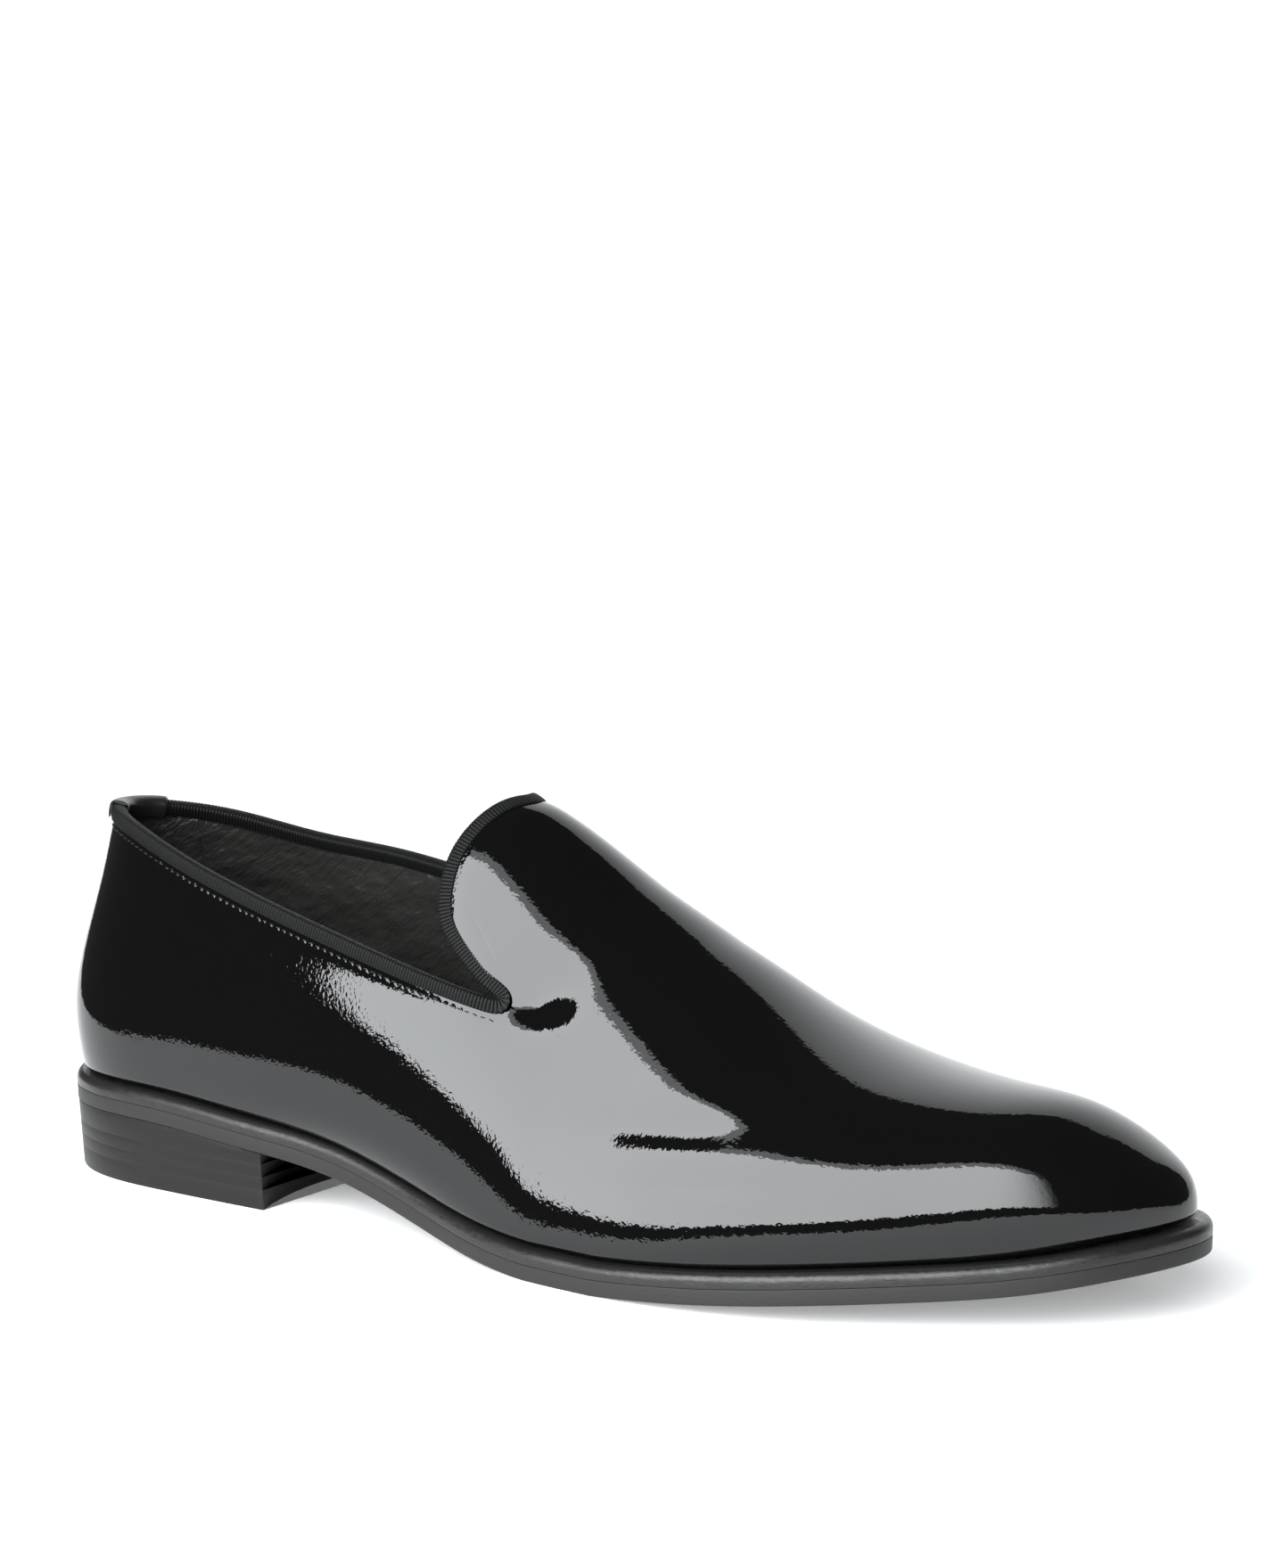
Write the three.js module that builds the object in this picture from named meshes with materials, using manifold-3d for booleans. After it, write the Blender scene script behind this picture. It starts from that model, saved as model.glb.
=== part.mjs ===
// A right slip-on dress shoe in millimetres: +X runs to the toe, +Y to the inner side, +Z up.
import * as THREE from 'three';
import Module from 'manifold-3d';
import { mergeVertices } from 'three/addons/utils/BufferGeometryUtils.js';

const wasm = await Module();
wasm.setup();

// Last: the form that the upper is drawn over, from the back of the heel to the tip of the toe.
const lastLength = 299.3;
const ballHalfWidth = 48;
const crownHeight = 97;
const heelRise = 17;
const toeSpring = 13;
const groundFlat = 0.3;
const backHeight = 66;
const backLean = 11.5;
const backReach = 120;

// Upper: the wall, its swell over the featherline and its turn under the foot.
const upperWall = 1.8;
const sideSwell = 2.6;
const swellHeight = 5;
const swellEase = 9;
const turnRadius = 1.6;
const innerNotchLift = 0.9;

// Sole: two layers, with an edge that stands out past the featherline.
const clearance = 0.3;
const outsoleThickness = 3.4;
const midsoleThickness = 3.4;
const edgeHeel = 2.2;
const edgeWaist = 1.3;
const edgeForefoot = 2.5;
const edgeToe = 3.5;
const insoleThickness = 2.4;
const insoleEdgeGap = 0.6;

// Heel: a wedge, two lifts and a top piece, with a hollowed breast.
const heelLength = 81;
const breastDepth = 6.5;
const heelTaper = 1.0;
const breastCutLength = 4;
const heelLip = 0.15;
const topPieceThickness = 5;
const liftThickness = 3.2;

// Binding and back tab, folded over the cut edge of the upper.
const bindingThickness = 0.65;
const bindingGap = 0.42;
const bindingLeg = 2.8;
const notchGap = 9.4;
const tabThickness = 0.6;
const tabLeg = 3.1;
const tabHalfLength = 10.5;

// Mesh steps.
const toplineSteps = 30;
const throatSteps = 15;
const lowRows = 9;
const vampSteps = 23;
const toeLowShare = 0.45;
const soleSteps = 44;
const heelSteps = 22;
const breastSteps = 16;

// Sections of the last. Columns: at, a share of lastLength; half, shift and lean, shares of ballHalfWidth;
// crown, a share of crownHeight; full, the power of the section's arch; seat and spring, shares of
// heelRise and toeSpring.
const sections = [
  { at: 0.0, half: 0.0, shift: 0.0, lean: 0.0, crown: 0.93, full: 2.4, seat: 0.96, spring: 0.0 },
  { at: 0.02, half: 0.279, shift: 0.0, lean: 0.0, crown: 0.934, full: 2.4, seat: 0.975, spring: 0.0 },
  { at: 0.05, half: 0.46, shift: 0.0, lean: -0.01, crown: 0.941, full: 2.37, seat: 1.0, spring: 0.0 },
  { at: 0.1, half: 0.588, shift: -0.001, lean: -0.019, crown: 0.95, full: 2.345, seat: 1.02, spring: 0.0 },
  { at: 0.17, half: 0.632, shift: -0.001, lean: -0.028, crown: 0.9452, full: 2.341, seat: 0.99, spring: 0.0 },
  { at: 0.25, half: 0.624, shift: -0.027, lean: -0.016, crown: 0.9419, full: 2.194, seat: 0.87, spring: 0.0 },
  { at: 0.35, half: 0.598, shift: -0.077, lean: -0.001, crown: 0.9188, full: 2.136, seat: 0.66, spring: 0.0 },
  { at: 0.45, half: 0.664, shift: -0.117, lean: 0.06, crown: 0.9319, full: 2.01, seat: 0.26, spring: 0.0 },
  { at: 0.5, half: 0.754, shift: -0.121, lean: 0.101, crown: 0.8781, full: 2.009, seat: 0.115, spring: 0.0 },
  { at: 0.55, half: 0.836, shift: -0.106, lean: 0.12, crown: 0.7899, full: 1.837, seat: 0.03, spring: 0.0 },
  { at: 0.6, half: 0.9, shift: -0.075, lean: 0.107, crown: 0.7005, full: 1.841, seat: 0.0, spring: 0.0 },
  { at: 0.65, half: 0.958, shift: -0.04, lean: 0.068, crown: 0.6113, full: 1.874, seat: 0.0, spring: 0.065 },
  { at: 0.7, half: 0.998, shift: 0.008, lean: 0.015, crown: 0.513, full: 2.017, seat: 0.0, spring: 0.16 },
  { at: 0.78, half: 0.965, shift: 0.069, lean: -0.032, crown: 0.3937, full: 2.44, seat: 0.0, spring: 0.35 },
  { at: 0.86, half: 0.781, shift: 0.123, lean: -0.071, crown: 0.3368, full: 2.554, seat: 0.0, spring: 0.51 },
  { at: 0.92, half: 0.599, shift: 0.156, lean: -0.092, crown: 0.295, full: 2.474, seat: 0.0, spring: 0.665 },
  { at: 0.97, half: 0.389, shift: 0.215, lean: -0.055, crown: 0.176, full: 2.55, seat: 0.0, spring: 0.88 },
  { at: 0.99, half: 0.215, shift: 0.241, lean: -0.02, crown: 0.1093, full: 2.5, seat: 0.0, spring: 0.96 },
  { at: 1.0, half: 0.0, shift: 0.254, lean: 0.0, crown: 0.0, full: 2.5, seat: 0.0, spring: 1.0 },
];

// Swell of the sides over the featherline. Columns: at, a share of lastLength; share, of sideSwell.
const swells = [
  { at: 0.0, share: 1.0 },
  { at: 0.2, share: 0.603 },
  { at: 0.35, share: 1.565 },
  { at: 0.45, share: 1.111 },
  { at: 0.5, share: 0.268 },
  { at: 0.55, share: 0.024 },
  { at: 0.62, share: 0.07 },
  { at: 0.7, share: 0.127 },
  { at: 0.78, share: 0.251 },
  { at: 0.86, share: 0.112 },
  { at: 0.94, share: 0.95 },
  { at: 1.0, share: 1.0 },
];

// Back of the heel in side view. Columns: rise, a share of backHeight; lean, a share of backLean.
const backCurve = [
  { rise: 0.0, lean: 0.125 },
  { rise: 0.12, lean: 0.036 },
  { rise: 0.26, lean: -0.01 },
  { rise: 0.53, lean: 0.335 },
  { rise: 0.76, lean: 0.735 },
  { rise: 1.0, lean: 1.02 },
  { rise: 1.45, lean: 1.72 },
];

// Topline. Columns: at, a share of lastLength; outer and inner, shares of backHeight over the heel seat.
const topline = [
  { at: 0.0, outer: 0.998, inner: 0.998 },
  { at: 0.08, outer: 0.967, inner: 0.938 },
  { at: 0.165, outer: 0.868, inner: 0.877 },
  { at: 0.255, outer: 0.77, inner: 0.847 },
  { at: 0.335, outer: 0.69, inner: 0.808 },
  { at: 0.41, outer: 0.612, inner: 0.744 },
  { at: 0.47, outer: 0.553, inner: 0.65 },
];

// Throat from the notch to the crown. Columns: at, a share of lastLength; round, a share of the way
// around the section from the featherline to the crown.
const throat = [
  { at: 0.521, round: 0.365 },
  { at: 0.492, round: 0.368 },
  { at: 0.454, round: 0.41 },
  { at: 0.437, round: 0.473 },
  { at: 0.4345, round: 0.582 },
  { at: 0.441, round: 0.697 },
  { at: 0.4495, round: 0.81 },
  { at: 0.457, round: 0.92 },
  { at: 0.46, round: 1.0 },
];

// Edge profiles of the sole layers. Columns: inset in mm; drop, a share of the layer's thickness.
const roundedEdge = [
  { inset: 0.9, drop: 0.0 },
  { inset: 0.25, drop: 0.2 },
  { inset: 0.0, drop: 0.5 },
  { inset: 0.25, drop: 0.8 },
  { inset: 0.9, drop: 1.0 },
];
const flatEdge = [
  { inset: 0.5, drop: 0.0 },
  { inset: 0.1, drop: 0.18 },
  { inset: 0.1, drop: 0.8 },
  { inset: 0.6, drop: 1.0 },
];
const squareEdge = [
  { inset: 0.0, drop: 0.0 },
  { inset: 0.0, drop: 1.0 },
];

// A cubic curve through values at rising places, level or free at either end.
function smoothCurve(places, values, levelStart, levelEnd) {
  const count = places.length;
  const step = (i) => places[i + 1] - places[i];
  const rise = (i) => (values[i + 1] - values[i]) / step(i);
  const diagonal = [levelStart ? 1 : 2];
  const upperBand = [levelStart ? 0 : 1];
  const right = [levelStart ? 0 : 3 * rise(0)];
  for (let i = 1; i < count - 1; i += 1) {
    const weight = step(i) / diagonal[i - 1];
    diagonal.push(2 * (step(i) + step(i - 1)) - weight * upperBand[i - 1]);
    upperBand.push(step(i - 1));
    right.push(3 * (step(i) * rise(i - 1) + step(i - 1) * rise(i)) - weight * right[i - 1]);
  }
  const slopes = new Array(count).fill(0);
  if (!levelEnd) {
    const weight = 1 / diagonal[count - 2];
    const pivot = 2 - weight * upperBand[count - 2];
    slopes[count - 1] = (3 * rise(count - 2) - weight * right[count - 2]) / pivot;
  }
  for (let i = count - 2; i >= 0; i -= 1) {
    slopes[i] = (right[i] - upperBand[i] * slopes[i + 1]) / diagonal[i];
  }
  return (place) => {
    let i = 0;
    while (i < count - 2 && place > places[i + 1]) i += 1;
    const span = step(i);
    const t = Math.min(Math.max((place - places[i]) / span, 0), 1);
    const beyond = place - places[i] - t * span;
    const edgeSlope = t < 0.5 ? slopes[i] : slopes[i + 1];
    const u = 1 - t;
    return values[i] * u * u * (1 + 2 * t) + values[i + 1] * t * t * (3 - 2 * t)
      + span * (slopes[i] * t * u * u - slopes[i + 1] * t * t * u) + beyond * edgeSlope;
  };
}

// Stations run from 0 to 1 with even steps around the round heel and toe.
const stationOf = (at) => Math.acos(1 - 2 * Math.min(Math.max(at, 0), 1)) / Math.PI;
const shareAt = (station) => (1 - Math.cos(Math.PI * station)) / 2;

function sectionCurve(column, scale, levelStart, levelEnd) {
  const places = sections.map((row) => stationOf(row.at));
  const values = sections.map((row) => row[column] * scale);
  return smoothCurve(places, values, levelStart, levelEnd);
}
const halfAt = sectionCurve('half', ballHalfWidth, false, false);
const shiftAt = sectionCurve('shift', ballHalfWidth, true, true);
const leanAt = sectionCurve('lean', ballHalfWidth, true, true);
const crownAt = sectionCurve('crown', crownHeight, true, false);
const fullAt = sectionCurve('full', 1, true, true);
const swellAt = smoothCurve(
  swells.map((row) => stationOf(row.at)),
  swells.map((row) => row.share * sideSwell),
  true,
  true,
);
const seatAt = sectionCurve('seat', heelRise, true, true);
const springAt = sectionCurve('spring', toeSpring, true, true);
const backAt = smoothCurve(
  backCurve.map((row) => row.rise * backHeight),
  backCurve.map((row) => row.lean * backLean),
  false,
  false,
);

// Heights along the shoe: the ground side of the outsole, the sole's top and the featherline.
const groundAt = (station) => Math.max(seatAt(station) + springAt(station) - groundFlat, 0);
const midsoleBaseAt = (station) => groundAt(station) + outsoleThickness + clearance;
const soleTopAt = (station) => midsoleBaseAt(station) + midsoleThickness;
const featherAt = (station) => soleTopAt(station) + clearance;

// The back curve fades out forwards from the heel.
function backShift(along, rise) {
  const t = Math.min(Math.max(1 - along / backReach, 0), 1);
  return backAt(rise) * t * t * (3 - 2 * t);
}

// Outward direction of the featherline in plan; side is 1 on the inner side and -1 on the outer side.
function planNormal(station, side) {
  const step = 1e-4;
  const from = station - step;
  const to = station + step;
  const along = lastLength * (shareAt(to) - shareAt(from));
  const across = shiftAt(to) - shiftAt(from) + side * (halfAt(to) - halfAt(from));
  const length = Math.hypot(along, across);
  return { x: (-side * across) / length, y: (side * along) / length };
}

// A point of the upper's outside. round runs from 0 at the featherline to 1 at the crown.
function upperPoint(station, round, side, turned) {
  const height = 1 - (1 - round) ** 2;
  const rise = height * crownAt(station);
  const half = Math.max(halfAt(station), 0);
  const swell = swellAt(station) * (1 - Math.exp(-rise / swellHeight)) * (1 - Math.exp(-half / swellEase));
  const arch = Math.sqrt(Math.max(1 - height ** fullAt(station), 0));
  const along = lastLength * shareAt(station);
  const point = new THREE.Vector3(
    along + backShift(along, rise),
    shiftAt(station) + leanAt(station) * height + side * (half + swell) * arch,
    featherAt(station) + rise,
  );
  if (turned && rise < turnRadius) {
    const inset = turnRadius - Math.sqrt(turnRadius ** 2 - (turnRadius - rise) ** 2);
    const normal = planNormal(station, side);
    point.x -= normal.x * inset;
    point.y -= normal.y * inset * arch;
  }
  return point;
}

// Outward normal of one side of the upper.
function sideNormal(station, round, side, step) {
  const place = Math.min(station, 1 - 2 * step);
  const turn = Math.min(round, 1 - step);
  const low = Math.max(turn - step, 0);
  const along = upperPoint(place + step, turn, side, false);
  along.sub(upperPoint(Math.max(place - step, 0), turn, side, false));
  const up = upperPoint(place, turn + step, side, false);
  up.sub(upperPoint(place, low, side, false));
  return along.cross(up).multiplyScalar(-side).normalize();
}

// Outward normal of the upper, shared by both sides on the seams and level where the wall stands on the sole.
function upperNormal(station, round, side) {
  const step = 1e-3;
  const normal = sideNormal(station, round, side, step);
  if (round > 1 - step || station < step || station > 1 - step) {
    normal.add(sideNormal(station, round, -side, step));
  }
  const height = 1 - (1 - round) ** 2;
  normal.z *= Math.min((height * crownAt(station)) / swellHeight, 1);
  return normal.normalize();
}

const throatParts = throat.map((row, i) => i / (throat.length - 1));
const throatAlong = smoothCurve(throatParts, throat.map((row) => row.at), false, true);
const throatRound = smoothCurve(throatParts, throat.map((row) => row.round), false, false);
const notchStation = stationOf(throat[0].at);

// The throat is a little higher on the inner side.
const throatTurn = (part, side) => 1 - (1 - throatRound(part)) * (side > 0 ? innerNotchLift : 1);

function toplineCurve(side) {
  const notchTurn = throatTurn(0, side);
  const notchRise = (1 - (1 - notchTurn) ** 2) * crownAt(notchStation);
  const column = side > 0 ? 'inner' : 'outer';
  const places = [...topline.map((row) => stationOf(row.at)), notchStation];
  const heights = topline.map((row) => featherAt(0) + row[column] * backHeight);
  return smoothCurve(places, [...heights, featherAt(notchStation) + notchRise], true, false);
}
const toplineHeight = { '-1': toplineCurve(-1), 1: toplineCurve(1) };

// The cut edge of the upper on one side: parts 0 to 1 run from the back seam to the notch, and parts
// 1 to 2 from the notch to the crown of the throat.
function edgePlace(part, side) {
  if (part > 1) {
    return { station: stationOf(throatAlong(part - 1)), round: Math.min(throatTurn(part - 1, side), 1) };
  }
  const station = part * notchStation;
  const share = (toplineHeight[side](station) - featherAt(station)) / crownAt(station);
  return { station, round: 1 - Math.sqrt(Math.max(1 - share, 0)) };
}

// Rows of the upper, closer together where the wall turns under the foot.
const rowShare = (row) => (row / lowRows) ** 1.6;

// Quarter: columns from the back seam to the notch, rows from the featherline to the topline.
function quarterGrid(side) {
  const grid = [];
  for (let i = 0; i <= toplineSteps; i += 1) {
    const top = edgePlace(i / toplineSteps, side);
    const column = [];
    for (let j = 0; j <= lowRows; j += 1) {
      column.push({ station: top.station, round: top.round * rowShare(j) });
    }
    grid.push(column);
  }
  return grid;
}

// Vamp: columns from the notch and throat to the toe, rows from the featherline to the crown.
function vampGrid(side) {
  const notchTurn = throatTurn(0, side);
  const grid = [];
  for (let i = 0; i <= vampSteps; i += 1) {
    const t = i / vampSteps;
    const column = [];
    for (let j = 0; j <= lowRows + throatSteps; j += 1) {
      const high = Math.max((j - lowRows) / throatSteps, 0);
      const start = j < lowRows
        ? { station: notchStation, round: notchTurn * rowShare(j) }
        : edgePlace(1 + high, side);
      const toeRound = j < lowRows ? toeLowShare * rowShare(j) : toeLowShare + (1 - toeLowShare) * high;
      column.push({
        station: start.station + (1 - start.station) * t,
        round: start.round + (toeRound - start.round) * t,
      });
    }
    grid.push(column);
  }
  return grid;
}

// Closed solids from rings of points and from faces.
class Skin {
  constructor() {
    this.points = [];
    this.faces = [];
  }

  addPoint(point) {
    return this.points.push(point.clone()) - 1;
  }

  addQuad(a, b, c, d) {
    this.faces.push([a, b, c], [a, c, d]);
  }

  geometry() {
    const loose = new THREE.BufferGeometry();
    loose.setAttribute('position', new THREE.Float32BufferAttribute(
      this.points.flatMap((point) => [point.x, point.y, point.z]), 3));
    loose.setIndex(this.faces.flat());
    const merged = mergeVertices(loose, 1e-3);
    const index = merged.index.array;
    const kept = [];
    for (let i = 0; i < index.length; i += 3) {
      const [a, b, c] = [index[i], index[i + 1], index[i + 2]];
      if (a !== b && b !== c && c !== a) kept.push(a, b, c);
    }
    merged.setIndex(kept);
    return faceOut(merged);
  }
}

// Turns every face of a closed solid outwards.
function faceOut(geometry) {
  const position = geometry.attributes.position;
  const index = geometry.index.array;
  const corners = [new THREE.Vector3(), new THREE.Vector3(), new THREE.Vector3()];
  let volume = 0;
  for (let i = 0; i < index.length; i += 3) {
    corners.forEach((corner, k) => corner.fromBufferAttribute(position, index[i + k]));
    volume += corners[0].dot(corners[1].clone().cross(corners[2]));
  }
  if (volume < 0) {
    for (let i = 0; i < index.length; i += 3) {
      [index[i + 1], index[i + 2]] = [index[i + 2], index[i + 1]];
    }
  }
  return geometry;
}

function toManifold(geometry) {
  const bare = geometry.clone();
  bare.deleteAttribute('normal');
  bare.deleteAttribute('uv');
  const merged = mergeVertices(bare, 1e-4);
  return new wasm.Manifold(new wasm.Mesh({
    numProp: 3,
    vertProperties: new Float32Array(merged.attributes.position.array),
    triVerts: new Uint32Array(merged.index.array),
  }));
}

function fromManifold(solid) {
  const mesh = solid.getMesh();
  const geometry = new THREE.BufferGeometry();
  geometry.setAttribute('position', new THREE.BufferAttribute(mesh.vertProperties, 3));
  geometry.setIndex(new THREE.BufferAttribute(mesh.triVerts, 1));
  return geometry;
}

// Upper: outside and inside walls, joined along the cut edge and along the sole.
function makeUpper() {
  const skin = new Skin();
  for (const side of [-1, 1]) {
    const quad = (a, b, c, d) => (side > 0 ? skin.addQuad(a, b, c, d) : skin.addQuad(d, c, b, a));
    const wall = (place) => {
      const outside = upperPoint(place.station, place.round, side, true);
      const normal = upperNormal(place.station, place.round, side);
      const inside = outside.clone().addScaledVector(normal, -upperWall);
      return { outside: skin.addPoint(outside), inside: skin.addPoint(inside) };
    };
    const panels = [quarterGrid(side), vampGrid(side)].map((grid) => grid.map((column) => column.map(wall)));
    for (const panel of panels) {
      for (let i = 0; i < panel.length - 1; i += 1) {
        for (let j = 0; j < panel[i].length - 1; j += 1) {
          const [a, b, c, d] = [panel[i][j], panel[i][j + 1], panel[i + 1][j + 1], panel[i + 1][j]];
          quad(a.outside, b.outside, c.outside, d.outside);
          quad(d.inside, c.inside, b.inside, a.inside);
        }
        quad(panel[i + 1][0].outside, panel[i + 1][0].inside, panel[i][0].inside, panel[i][0].outside);
      }
    }
    const [quarter, vamp] = panels;
    const cutEdge = [...quarter.map((column) => column[lowRows]), ...vamp[0].slice(lowRows + 1)];
    for (let i = 0; i < cutEdge.length - 1; i += 1) {
      quad(cutEdge[i].outside, cutEdge[i].inside, cutEdge[i + 1].inside, cutEdge[i + 1].outside);
    }
  }
  return skin.geometry();
}

// A point of a sole layer's outline, out past the featherline.
function outlinePoint(station, side, out, height) {
  const along = lastLength * shareAt(station);
  const normal = planNormal(station, side);
  return new THREE.Vector3(
    along + backShift(along, 0) + normal.x * out,
    shiftAt(station) + side * Math.max(halfAt(station), 0) + normal.y * out,
    height,
  );
}

// Sole edge past the featherline: wide at heel and forefoot, close at the waist, widest at the toe.
const ease = (t) => THREE.MathUtils.smoothstep(t, 0, 1);
function edgeAt(station) {
  const at = shareAt(station);
  const waist = ease((at - 0.22) / 0.13) * (1 - ease((at - 0.45) / 0.15));
  const front = ease((at - 0.4) / 0.2);
  const toe = ease((at - 0.8) / 0.2);
  const wide = edgeHeel + (edgeForefoot - edgeHeel) * front + (edgeToe - edgeForefoot) * toe;
  return wide + (edgeWaist - wide) * waist;
}

// A plate between the heel and a last station, with strips across its faces and a shaped edge.
function makePlate(lastStation, steps, profile, topAt, bottomAt, outAt) {
  const skin = new Skin();
  const levels = profile.map((row) => [-1, 1].map((side) => {
    const line = [];
    for (let i = 0; i <= steps; i += 1) {
      const station = (i / steps) * lastStation;
      const height = THREE.MathUtils.lerp(topAt(station), bottomAt(station), row.drop);
      const out = outAt(station, height) - row.inset;
      line.push(skin.addPoint(outlinePoint(station, side, out, height)));
    }
    return line;
  }));
  const top = levels[0];
  const bottom = levels[levels.length - 1];
  for (let i = 0; i < steps; i += 1) {
    skin.addQuad(top[0][i], top[0][i + 1], top[1][i + 1], top[1][i]);
    skin.addQuad(bottom[1][i], bottom[1][i + 1], bottom[0][i + 1], bottom[0][i]);
    for (let k = 0; k < levels.length - 1; k += 1) {
      const [outer, inner] = levels[k];
      const [outerBelow, innerBelow] = levels[k + 1];
      skin.addQuad(outerBelow[i], outerBelow[i + 1], outer[i + 1], outer[i]);
      skin.addQuad(inner[i], inner[i + 1], innerBelow[i + 1], innerBelow[i]);
    }
  }
  if (lastStation < 1) {
    for (let k = 0; k < levels.length - 1; k += 1) {
      const [outer, inner] = levels[k];
      const [outerBelow, innerBelow] = levels[k + 1];
      skin.addQuad(outer[steps], outerBelow[steps], innerBelow[steps], inner[steps]);
    }
  }
  return skin.geometry();
}

// The hollow in front of the heel: a block with a curved back.
function makeBreastCutter() {
  const reach = 2 * ballHalfWidth;
  const shape = new THREE.Shape();
  const curveHalf = sections[4].half * ballHalfWidth + edgeHeel;
  shape.moveTo(heelLength + reach, -reach);
  shape.lineTo(heelLength + reach, reach);
  shape.lineTo(heelLength, reach);
  shape.lineTo(heelLength, curveHalf);
  shape.quadraticCurveTo(heelLength - 2 * breastDepth, 0, heelLength, -curveHalf);
  shape.lineTo(heelLength, -reach);
  const settings = { depth: reach, bevelEnabled: false, curveSegments: breastSteps };
  return new THREE.ExtrudeGeometry(shape, settings).translate(0, 0, -clearance);
}

// A layer of the heel, cut at the breast; the heel narrows a little towards the floor.
function makeHeelLayer(topAt, bottomAt) {
  const top = heelRise;
  const outAt = (station, height) => edgeHeel - heelLip - heelTaper * (1 - height / top);
  const station = stationOf((heelLength + breastCutLength) / lastLength);
  const plate = makePlate(station, heelSteps, squareEdge, topAt, bottomAt, outAt);
  return fromManifold(toManifold(plate).subtract(toManifold(makeBreastCutter())));
}

// Frames along the cut edge, from one part of the outer side round to one part of the inner side.
function edgeFrames(parts) {
  const places = parts.map(({ part, side }) => {
    const { station, round } = edgePlace(part, side);
    return { point: upperPoint(station, round, side, false), normal: upperNormal(station, round, side) };
  });
  return places.map((place, i) => {
    const before = places[Math.max(i - 1, 0)].point;
    const after = places[Math.min(i + 1, places.length - 1)].point;
    const along = after.clone().sub(before).normalize();
    const normal = place.normal.clone().addScaledVector(along, -place.normal.dot(along)).normalize();
    const out = along.clone().cross(normal).normalize();
    return { point: place.point, normal, out };
  });
}

// A folded strip over the cut edge: two legs and a crest, at a gap from the wall.
function makeFold(parts, gap, thickness, leg) {
  const outer = gap + thickness;
  const crest = gap + thickness;
  const bevel = thickness * 0.6;
  const profile = [
    [outer, -leg],
    [outer, crest - bevel],
    [outer - bevel, crest],
    [-upperWall - outer + bevel, crest],
    [-upperWall - outer, crest - bevel],
    [-upperWall - outer, -leg],
    [-upperWall - gap, -leg],
    [-upperWall - gap, gap],
    [gap, gap],
    [gap, -leg],
  ];
  const skin = new Skin();
  const rings = edgeFrames(parts).map((frame) => profile.map(([across, up]) => {
    const point = frame.point.clone().addScaledVector(frame.normal, across);
    return skin.addPoint(point.addScaledVector(frame.out, up));
  }));
  const count = profile.length;
  for (let i = 0; i < rings.length - 1; i += 1) {
    for (let k = 0; k < count; k += 1) {
      const next = (k + 1) % count;
      skin.addQuad(rings[i][k], rings[i][next], rings[i + 1][next], rings[i + 1][k]);
    }
  }
  const outline = profile.map(([across, up]) => new THREE.Vector2(across, up));
  const last = rings[rings.length - 1];
  for (const [a, b, c] of THREE.ShapeUtils.triangulateShape(outline, [])) {
    skin.faces.push([rings[0][c], rings[0][b], rings[0][a]]);
    skin.faces.push([last[a], last[b], last[c]]);
  }
  return skin.geometry();
}

// Length of the cut edge between two parts of one side.
function edgeLength(from, to, side) {
  const steps = 40;
  let length = 0;
  let before = null;
  for (let i = 0; i <= steps; i += 1) {
    const { station, round } = edgePlace(from + (to - from) * (i / steps), side);
    const point = upperPoint(station, round, side, false);
    if (before) length += point.distanceTo(before);
    before = point;
  }
  return length;
}

// Edge parts of one side, in steps that follow the upper's own columns.
function sideParts(from, to, side) {
  const steps = from < 1 ? toplineSteps : throatSteps;
  const parts = [{ part: from, side }];
  for (let k = Math.floor(from * steps) + 1; k / steps < to - 0.2 / steps; k += 1) {
    parts.push({ part: k / steps, side });
  }
  parts.push({ part: to, side });
  return parts;
}

// The part of the cut edge that lies a given length past another part of one side.
function partBeyond(from, to, side, length) {
  let near = from;
  let far = to;
  for (let i = 0; i < 20; i += 1) {
    const middlePart = (near + far) / 2;
    if (edgeLength(from, middlePart, side) < length) near = middlePart;
    else far = middlePart;
  }
  return near;
}

function quarterParts() {
  const ends = [-1, 1].map((side) => partBeyond(1, 0, side, notchGap));
  const outer = sideParts(0, ends[0], -1).reverse();
  return [...outer, ...sideParts(0, ends[1], 1).slice(1)];
}

function vampParts() {
  const starts = [-1, 1].map((side) => partBeyond(1, 2, side, notchGap));
  const inner = sideParts(starts[1], 2, 1);
  return [...inner, ...sideParts(starts[0], 2, -1).reverse().slice(1)];
}

function tabParts() {
  const ends = [-1, 1].map((side) => partBeyond(0, 1, side, tabHalfLength));
  const outer = sideParts(0, ends[0], -1).reverse();
  return [...outer, ...sideParts(0, ends[1], 1).slice(1)];
}

const patentLeather = new THREE.MeshStandardMaterial({ color: 0x0a0a0b, roughness: 0.08, metalness: 0 });
const smoothLeather = new THREE.MeshStandardMaterial({ color: 0x121212, roughness: 0.5, metalness: 0 });
const insoleLeather = new THREE.MeshStandardMaterial({ color: 0x161514, roughness: 0.6, metalness: 0 });
const soleLeather = new THREE.MeshStandardMaterial({ color: 0x1c1b1a, roughness: 0.45, metalness: 0 });
const heelLeather = new THREE.MeshStandardMaterial({ color: 0x1e1d1c, roughness: 0.4, metalness: 0 });
const grosgrain = new THREE.MeshStandardMaterial({ color: 0x0c0c0c, roughness: 0.9, metalness: 0 });

const wedgeBase = topPieceThickness + 2 * liftThickness;
const layerTop = (height) => () => height;
const edgeOut = (station) => edgeAt(station);
const insoleOut = () => -(upperWall + turnRadius + insoleEdgeGap);
const insoleBaseAt = (station) => soleTopAt(station) + clearance;
const tabGap = bindingGap + bindingThickness + clearance;

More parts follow.
